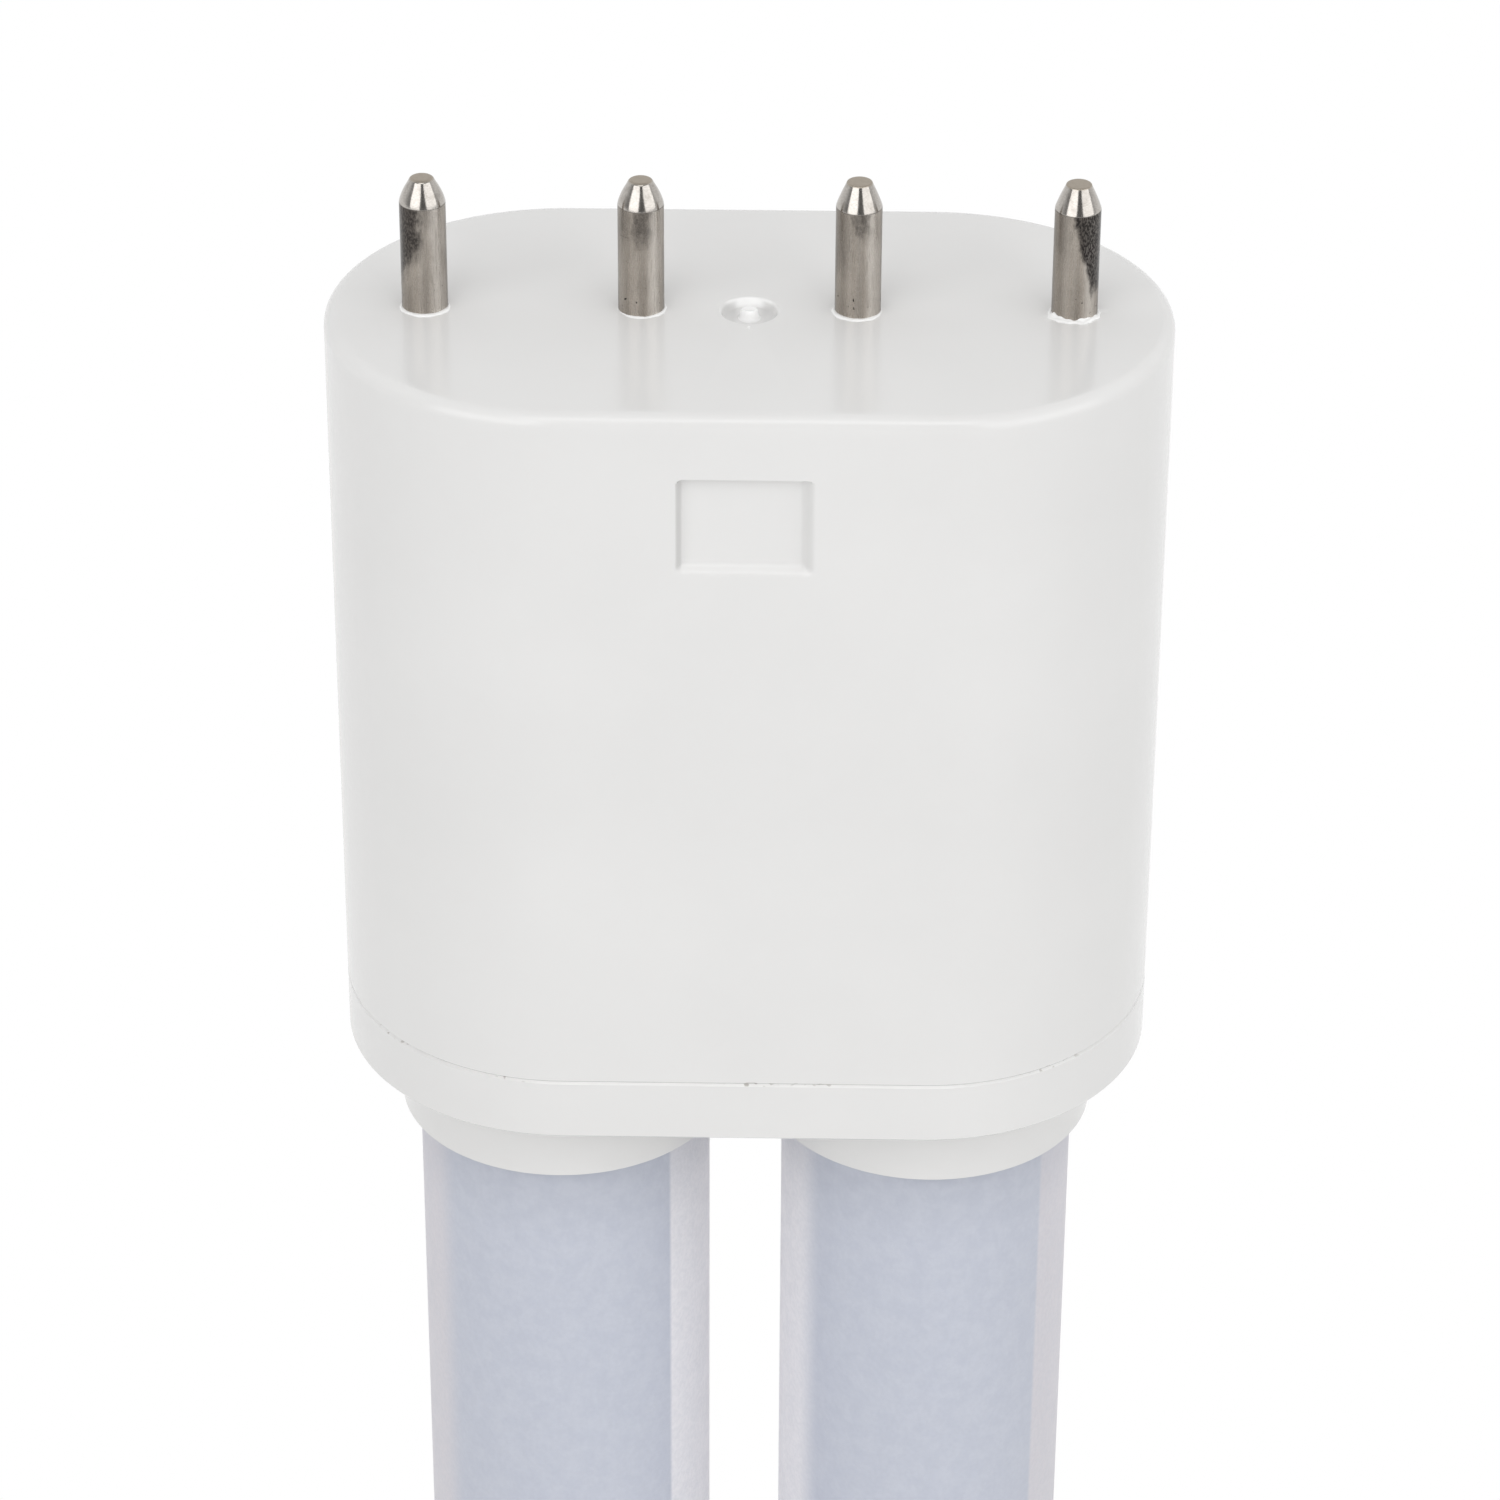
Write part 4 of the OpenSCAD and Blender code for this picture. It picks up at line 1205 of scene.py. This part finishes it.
        def reach(radius: float, a: float) -> float:
            """Distance from the middle at an angle, round outside and oval at the pip."""
            oval = smooth((0.9 - radius) / 0.3)
            squeezed = radius / math.hypot(math.cos(a), math.sin(a) / self.pip_oval)
            wave = 1 + 0.04 * torn(a) if 0.34 < radius < 0.5 else 1.0
            return (radius + (squeezed - radius) * oval) * wave

        def row(radius: float, up: float) -> list[Vector]:
            """One ring of the mark at a radius and a height above the pin face."""
            return circle(0.0, -self.gate_forward, lambda a: reach(radius, a), lambda _: self.face_z + up)

        made = skin.stack(row(*step) for step in rim + wall + bowl + post)
        skin.mesh.faces.new(made[-1])
        return made[0]

    def drip(self, skin: Skin) -> list:
        """Tiny drop of plastic in front of the gate mark.

        Its outer ring crosses the outer ring of the gate mark by 0.03 mm, and the fill of the
        pin face leaves one stray triangle there.

        Args:
            skin: Mesh of the cap.

        Returns:
            The ring in the pin face.
        """
        made = skin.stack(
            hoop(*self.drip_place, radius, self.face_z + up, self.drip_parts)
            for radius, up in ((0.13, 0.0), (0.10, 0.005), (0.085, 0.035), (0.05, 0.06), (0.02, 0.068))
        )
        skin.mesh.faces.new(made[-1])
        return made[0]

    def inside(self, skin: Skin, columns: Sequence[Station], seam_ring: list, holes: list) -> None:
        """Inner wall, the underside of the roof and the ribs that hold the driver board.

        Args:
            skin: Mesh of the cap.
            columns: Stations round the outline.
            seam_ring: Lowest ring of the outer wall.
            holes: Rings in the underside of the roof where the sleeves start.
        """
        roof_z = self.face_z - self.roof
        board_low, board_high = low_corner("driver_board"), high_corner("driver_board")
        inner_x = board_high.x - self.rib_overlap
        outer_x = self.half_run + self.end_radius - self.wall
        near, far = self.rib_gap, self.rib_gap + self.rib_thick
        in_front = (board_low.y - far, board_low.y - near)
        behind = (board_high.y + near, board_high.y + far)
        for start_x, end_x in ((-outer_x, -inner_x), (inner_x, outer_x)):
            for start_y, end_y in (in_front, behind):
                low = Vector((start_x, start_y, self.seam_z + self.rib_rise))
                skin.box(low, Vector((end_x, end_y, roof_z)))
        rows = [(self.outside(z) - self.wall, z) for z in (self.seam_z, self.seam_z + 10, roof_z)]
        rings = skin.stack([[c.point(reach, z) for c in columns] for reach, z in rows])
        skin.join(seam_ring, rings[0])
        skin.fill([rings[-1], *holes])

    def build(self, material: bpy.types.Material) -> bpy.types.Object:
        """Builds the cap.

        Args:
            material: White plastic.

        Returns:
            The piece.
        """
        skin = Skin()
        columns = self.columns()
        wall = skin.stack([self.wall_ring(columns, reach, z) for reach, z in self.wall_rows()])
        flat_reach = self.end_radius - self.edge_radius - self.face_margin
        inset = skin.ring([c.point(flat_reach, self.face_z) for c in columns])
        skin.join(wall[-1], inset)
        places = [(i - 1.5) * self.pin_pitch for i in range(len(self.beads))]
        pins = [self.bead_and_bore(skin, x, bead) for x, bead in zip(places, self.beads)]
        marks = [self.gate_mark(skin), self.drip(skin)]
        skin.fill([inset, *marks, *[face for face, _ in pins]])
        self.inside(skin, columns, wall[0], [under for _, under in pins])
        return skin.finish("cap_shell", material)


@dataclass
class ContactPin:
    """Turned contact pin: cone with a flat tip, shank, locking groove, flange and solder cup.

    Attributes:
        node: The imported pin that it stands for.
        face_z: Height of the pin face.
        stains: Tarnished patches on it.
        scratch: Height of a scratch above the pin face, or nothing.
        dome: How far the tip is rounded over, from 0 to 1.
        edge_width: Width of the tip's rounded edge, and what a full dome adds.
        edge_drop: How far that edge drops, and what a full dome adds.
        belly: How far the cone bulges, and what a full dome adds.
    """

    node: str
    face_z: float
    stains: tuple[Stain, ...]
    scratch: float = 0.0
    shank_radius: float = 1.175
    cone_length: float = 1.3
    tip_radius: float = 0.655
    dome: float = 0.0
    edge_width: tuple[float, float] = (0.08, 0.17)
    edge_drop: tuple[float, float] = (0.06, 0.12)
    belly: tuple[float, float] = (0.02, 0.04)
    groove_radius: float = 0.95
    groove_length: float = 0.8
    sleeve_length: float = 7.0
    flange_radius: float = 1.5
    flange_length: float = 0.8
    cup_radius: float = 1.05
    cup_length: float = 3.0
    bore_radius: float = 0.65
    bore_length: float = 2.2

    def outline(self) -> list[tuple[float, float]]:
        """Radius and height of each ring, from the tip down and into the solder cup."""
        tip_z = high_corner(self.node).z
        cone_z = tip_z - self.cone_length
        shank, tip = self.shank_radius, self.tip_radius
        width, drop, bulge = (plain + more * self.dome for plain, more in
                              (self.edge_width, self.edge_drop, self.belly))
        head = [(0.25, tip_z)]
        for turn in steps(0.0, math.radians(75), 6):
            head.append((tip - width + width * math.sin(turn), tip_z - drop * (1 - math.cos(turn))))
        for share in steps(0.0, 1.0, 8)[1:-1]:
            radius = tip + (shank - tip) * share + bulge * 4 * share * (1 - share)
            head.append((radius, tip_z - drop - (self.cone_length - drop) * share))
        shoulder = [(shank - 0.014, cone_z + 0.03), (shank - 0.002, cone_z - 0.02), (shank, cone_z - 0.07),
                    (shank, cone_z - 0.3)]
        groove_z = self.face_z - self.groove_length
        sleeve_z = self.face_z - self.sleeve_length
        neck = [(shank, self.face_z + 0.3), (shank, self.face_z), (self.groove_radius, self.face_z),
                (self.groove_radius, groove_z), (shank, groove_z), (shank, sleeve_z)]
        flange_z = sleeve_z - self.flange_length
        cup_z = flange_z - self.cup_length
        flange = [(self.flange_radius - 0.06, sleeve_z), (self.flange_radius, sleeve_z - 0.06),
                  (self.flange_radius, flange_z + 0.06), (self.flange_radius - 0.06, flange_z)]
        cup = [(self.cup_radius, flange_z), (self.cup_radius, cup_z + 0.05), (self.cup_radius - 0.05, cup_z),
               (self.bore_radius + 0.05, cup_z), (self.bore_radius, cup_z + 0.05),
               (self.bore_radius, cup_z + self.bore_length), (0.2, cup_z + self.bore_length + 0.2)]
        return head + shoulder + neck + flange + cup

    def build(self, number: int) -> bpy.types.Object:
        """Builds the pin.

        Args:
            number: Place in the row, from 1.

        Returns:
            The piece.
        """
        x = middle_x(self.node)
        tip_z = high_corner(self.node).z
        skin = Skin()
        rings = skin.stack(hoop(x, 0.0, radius, z) for radius, z in self.outline())
        for end in (rings[0], rings[-1]):
            skin.mesh.faces.new(end)
        finish = NickelPlate(x, self.face_z, tip_z - self.cone_length, tip_z, self.stains, self.scratch)
        return skin.finish(f"pin_turned_{number}", finish.material(f"nickel_pin_{number}"), 30.0)


@dataclass
class DriverParts:
    """Finishes of what the cap and the tubes hide."""

    tinned: GrainFinish = GrainFinish(
        (0.62, 0.61, 0.59), (0.50, 0.49, 0.47), (0.25, 0.45), 0.2, 0.008, metallic=1.0)
    aluminium: GrainFinish = GrainFinish(
        (0.66, 0.66, 0.66), (0.58, 0.58, 0.59), (0.3, 0.5), 0.12, 0.006, (1, 1, 12), metallic=1.0)
    copper: GrainFinish = GrainFinish(
        (0.62, 0.25, 0.10), (0.48, 0.17, 0.07), (0.2, 0.35), 0.12, 0.03, (12, 1, 12), metallic=1.0)

    def leads(self, stand: float = 0.0) -> Zone:
        """Tinned leads on the board's side of a part that stands off it a little."""
        return Zone(1, low_corner("driver_board").y - stand, ABOVE_ALL, self.tinned)

    def feet(self, node: str, reach: float = 1.0) -> tuple[Zone, Zone]:
        """Tinned feet above and below a moulded package."""
        low, high = low_corner(node).z, high_corner(node).z
        overlap = 0.05
        below = Zone(2, BELOW_ALL, low + reach - overlap, self.tinned)
        return below, Zone(2, high - reach + overlap, ABOVE_ALL, self.tinned)

    def finishes(self) -> dict[str, Finish]:
        """Finish of each hidden node."""
        wire = (0.45, 0.62)
        white = GrainFinish((0.85, 0.84, 0.78), (0.79, 0.78, 0.72), wire, 0.15, 0.01)
        red = GrainFinish((0.60, 0.05, 0.04), (0.52, 0.035, 0.03), wire, 0.15, 0.01)
        black = GrainFinish((0.03, 0.03, 0.03), (0.045, 0.045, 0.045), wire, 0.15, 0.01)
        epoxy = GrainFinish((0.03, 0.03, 0.03), (0.04, 0.04, 0.042), (0.45, 0.65), 0.08, 0.01)
        ferrite = GrainFinish((0.10, 0.10, 0.11), (0.075, 0.075, 0.08), (0.5, 0.75), 0.15, 0.03)
        made: dict[str, Finish] = {f"pin_lead_{i}": white for i in range(1, 5)}
        for side in ("left", "right"):
            board = "led_board_" + side
            chips = "led_chips_" + side
            made[f"led_lead_{side}_positive"] = red
            made[f"led_lead_{side}_negative"] = black
            mask_y = high_corner(board).y
            mask = GrainFinish((0.80, 0.80, 0.78), (0.77, 0.77, 0.755), (0.3, 0.42), 0.25, 0.006)
            made[board] = replace(self.aluminium, zones=(Zone(1, mask_y - 0.1, mask_y + 1.0, mask),))
            made[chips] = LedPackage(middle_x(chips), first_led_z(side))
        made["driver_board"] = SolderMask(high_corner("driver_board").x)
        body = GrainFinish((0.25, 0.40, 0.55), (0.21, 0.35, 0.49), (0.4, 0.6), 0.15, 0.02)
        made["fuse_resistor"] = replace(body, zones=(
            self.leads(1.0), Zone(1, BELOW_ALL, low_corner("fuse_resistor").y + 2.1, self.tinned),
            Zone(2, low_corner("fuse_resistor").z + 3.05, ABOVE_ALL, self.tinned),
        ))
        coat = GrainFinish((0.08, 0.20, 0.55), (0.06, 0.16, 0.46), (0.25, 0.4), 0.5, 0.03)
        made["varistor"] = replace(coat, zones=(self.leads(0.4),))
        box = GrainFinish((0.75, 0.55, 0.08), (0.68, 0.48, 0.06), (0.4, 0.55), 0.12, 0.015)
        made["film_capacitor"] = replace(box, zones=(self.leads(0.2),))
        choke_low = low_corner("input_choke").y
        made["input_choke"] = replace(ferrite, zones=(
            Zone(1, choke_low + 1.0, low_corner("driver_board").y - 1.0, self.copper), self.leads(-0.02),
        ))
        for node in ("bulk_capacitor", "output_capacitor"):
            sleeve = GrainFinish((0.06, 0.08, 0.14), (0.05, 0.07, 0.12), (0.18, 0.3), 0.4, 0.01)
            top = low_corner(node).y
            bare_top = Zone(1, top - 1.0, top + 0.18, self.aluminium)
            made[node] = replace(sleeve, zones=(bare_top, self.leads(-0.02)))
        made["transformer_core"] = ferrite
        made["transformer_bobbin"] = replace(epoxy, zones=(self.leads(-0.02),))
        tape = GrainFinish((0.80, 0.62, 0.10), (0.72, 0.53, 0.08), (0.12, 0.25), 0.5, 0.02, (12, 12, 1))
        made["transformer_winding"] = tape
        for node in ("bridge_rectifier", "controller_chip", "output_diode"):
            made[node] = replace(epoxy, zones=self.feet(node))
        made["chip_resistors"] = replace(epoxy, rough=(0.2, 0.35))
        return made

    def dress(self) -> None:
        """Gives every hidden node its finish."""
        for node, finish in self.finishes().items():
            dress([node], finish.material(node + "_finish"))


@dataclass(frozen=True)
class SoftBox:
    """Soft light box that faces the cap.

    Attributes:
        name: Its name.
        turn: Direction in degrees from -Y towards +X.
        rise: Elevation of its middle in degrees.
        width: Width in millimetres.
        height: Height in millimetres.
        level: Brightness of its face, where 1 is white.
        away: Distance from the cap in millimetres.
    """

    name: str
    turn: float
    rise: float
    width: float
    height: float
    level: float
    away: float = 800.0

    def build(self, target: Vector) -> None:
        """Sets the light up, facing a point given in millimetres."""
        data = bpy.data.lights.new(self.name, "AREA")
        data.shape = "RECTANGLE"
        data.size = self.width * MM
        data.size_y = self.height * MM
        data.energy = self.level * math.pi * data.size * data.size_y
        lamp = bpy.data.objects.new(self.name, data)
        turn, rise = math.radians(self.turn), math.radians(self.rise)
        out = Vector((math.sin(turn) * math.cos(rise), -math.cos(turn) * math.cos(rise), math.sin(rise)))
        lamp.location = (target + self.away * out) * MM
        lamp.rotation_euler = out.to_track_quat("Z", "Y").to_euler()
        bpy.context.scene.collection.objects.link(lamp)


@dataclass
class Studio:
    """Plain floor, soft light from all round with soft boxes in front, and the camera.

    The levels come from a fit to tones of the photograph. Those of the dark gap and of the
    back were then set by choice.
    """

    front_level: float = 0.26
    back_level: float = 0.91
    top_level: float = 0.55
    dim_level: float = 0.15
    floor_tone: float = 0.70
    boxes: tuple[SoftBox, ...] = (
        SoftBox("soft_box_left", -34.0, 22.0, 740.0, 640.0, 1.93),
        SoftBox("soft_box_right", 52.0, 22.0, 860.0, 640.0, 1.55),
        SoftBox("soft_box_high", 0.0, 58.0, 500.0, 300.0, 1.92),
    )
    floor_half: float = 4000.0
    shadow_near: float = 60.0
    shadow_far: float = 165.0
    shadow_share: float = 0.35
    camera_place: tuple[float, float, float] = (3.2156, -248.1462, 341.8654)
    camera_pitch: float = 31.169
    camera_roll: float = 0.292
    camera_yaw: float = 0.71
    lens: float = 130.514
    target: tuple[float, float, float] = (0.0, 0.0, 205.0)

    def floor(self) -> None:
        """Pale floor that shows white and keeps the lamp's shadow round its foot."""
        half = self.floor_half * MM
        data = bpy.data.meshes.new("floor")
        corners = [(-half, -half, 0), (half, -half, 0), (half, half, 0), (-half, half, 0)]
        data.from_pydata(corners, [], [(0, 1, 2, 3)])
        made = Shader("floor_white")
        rays = made.add("ShaderNodeLightPath").outputs
        seen = made.math("ADD", rays["Is Camera Ray"], rays["Is Glossy Ray"])
        seen = made.math("MINIMUM", made.math("ADD", seen, rays["Is Transmission Ray"]), 1.0)
        grain = made.noise(2.0)
        bright = (self.floor_tone,) * 3
        matt = made.add("ShaderNodeBsdfDiffuse")
        made.put(matt.inputs["Color"], made.mix(grain, bright, (self.floor_tone - 0.02,) * 3))
        white = made.add("ShaderNodeEmission")
        white.inputs["Strength"].default_value = 1.0
        lit = made.add("ShaderNodeBsdfDiffuse")
        lit.inputs["Color"].default_value = (1, 1, 1, 1)
        x, y, _ = made.position()
        under_lamp = made.ramp(made.distance(x, y), self.shadow_near, self.shadow_far, self.shadow_share, 0.0)
        backdrop = made.shade(under_lamp, white.outputs[0], lit.outputs[0])
        both = made.shade(seen, matt.outputs[0], backdrop)
        made.put(made.tree.nodes["Material Output"].inputs["Surface"], both)
        data.materials.append(made.material)
        piece = bpy.data.objects.new("floor", data)
        bpy.context.scene.collection.objects.link(piece)

    def world(self) -> None:
        """Soft white light, bright behind and dim in front, with a dark gap between the boxes."""
        world = bpy.data.worlds.new("studio")
        world.use_nodes = True
        bpy.context.scene.world = world
        sky = Wiring(world.node_tree)
        x, y, z = sky.split(sky.add("ShaderNodeTexCoord").outputs["Generated"])
        turn = sky.math("ARCTAN2", x, sky.math("MULTIPLY", y, -1.0))
        round_back = sky.ramp(sky.math("ABSOLUTE", turn), math.radians(60), math.radians(110))
        level = sky.blend(round_back, self.front_level, self.back_level)
        overhead = sky.ramp(z, math.sin(math.radians(48)), math.sin(math.radians(62)))
        level = sky.blend(overhead, level, self.top_level)
        gap = sky.window(turn, math.radians(-8), math.radians(21), math.radians(5))
        gap = sky.product(gap, sky.math("SUBTRACT", 1.0, overhead))
        level = sky.blend(gap, level, self.dim_level)
        rays = sky.add("ShaderNodeLightPath")
        background = sky.tree.nodes["Background"]
        background.inputs["Color"].default_value = (1, 1, 1, 1)
        sky.put(background.inputs["Strength"], sky.blend(rays.outputs["Is Camera Ray"], level, 1.0))

    def camera(self) -> None:
        """Camera at the place and with the turn that were fitted to the photograph."""
        data = bpy.data.cameras.new("camera")
        data.sensor_width = 36.0
        data.lens = self.lens
        data.clip_start = 0.01
        camera = bpy.data.objects.new("camera", data)
        turned = Matrix.Rotation(math.radians(self.camera_yaw), 4, "Z")
        lifted = Matrix.Rotation(math.radians(90 - self.camera_pitch), 4, "X")
        rolled = Matrix.Rotation(math.radians(self.camera_roll), 4, "Z")
        placed = Matrix.Translation(Vector(self.camera_place) * MM)
        camera.matrix_world = placed @ turned @ lifted @ rolled
        bpy.context.scene.collection.objects.link(camera)
        bpy.context.scene.camera = camera

    def build(self) -> None:
        """Sets up the whole studio."""
        self.floor()
        self.world()
        for box in self.boxes:
            box.build(Vector(self.target))
        self.camera()
        bpy.context.scene.view_settings.view_transform = "Standard"


def dress(nodes: Iterable[str], material: bpy.types.Material) -> None:
    """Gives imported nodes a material.

    Args:
        nodes: Their names.
        material: The material.
    """
    for name in nodes:
        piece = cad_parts[name]
        if not piece.material_slots:
            piece.data.materials.append(material)
        for slot in piece.material_slots:
            slot.material = material
        log.info("dressed %s with %s", name, material.name)


def attach(piece: bpy.types.Object, node: str) -> None:
    """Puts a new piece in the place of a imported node.

    Args:
        piece: The new piece.
        node: The node that it replaces.
    """
    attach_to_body(piece, BODY)
    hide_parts(node)
    log.info("%s stands for %s", piece.name, node)


def pins(face_z: float) -> list[ContactPin]:
    """The four pins from left to right, each with its own tarnish.

    Args:
        face_z: Height of the pin face in millimetres.

    Returns:
        The pins.
    """
    marks = (
        ((Stain(-58.0, 56.0, 2.2, 1.5, 0.95), Stain(10.0, 18.0, 5.0, 0.0, 0.35)), 0.0, 1.0),
        ((Stain(6.0, 22.0, 4.3, 0.0, 0.70), Stain(-50.0, 26.0, 4.4, 0.0, 0.25)), 4.35, 1.0),
        ((Stain(6.0, 22.0, 4.9, 0.0, 0.72), Stain(-50.0, 35.0, 2.6, 0.0, 0.22)), 0.0, 0.1),
        ((Stain(40.0, 52.0, 1.7, -4.2, 1.0, 0.7), Stain(-40.0, 20.0, 3.8, 0.0, 0.25)), 0.0, 0.1),
    )
    return [
        ContactPin(f"contact_pin_{number}", face_z, stains, scratch, dome=dome)
        for number, (stains, scratch, dome) in enumerate(marks, 1)
    ]


def main() -> None:
    """Builds the lamp and the studio."""
    logging.basicConfig(level=logging.INFO, format="%(message)s")
    cap = BaseCap()
    housing = HousingPlastic(cap.seam_z, cap.face_z, cap.gate_forward).material("white_housing")
    attach(cap.build(housing), "base_cap")
    dress(["base_collar", "end_bridge"], housing)
    for side, inner in (("left", 1.0), ("right", -1.0)):
        tube = "tube_" + side
        glass = FrostedGlass(middle_x(tube), low_corner("base_collar").z, first_led_z(side), inner)
        dress([tube], glass.material("frosted_tube"))
    for number, pin in enumerate(pins(cap.face_z), 1):
        attach(pin.build(number), pin.node)
    DriverParts().dress()
    Studio().build()


if __name__ == "__main__":
    main()
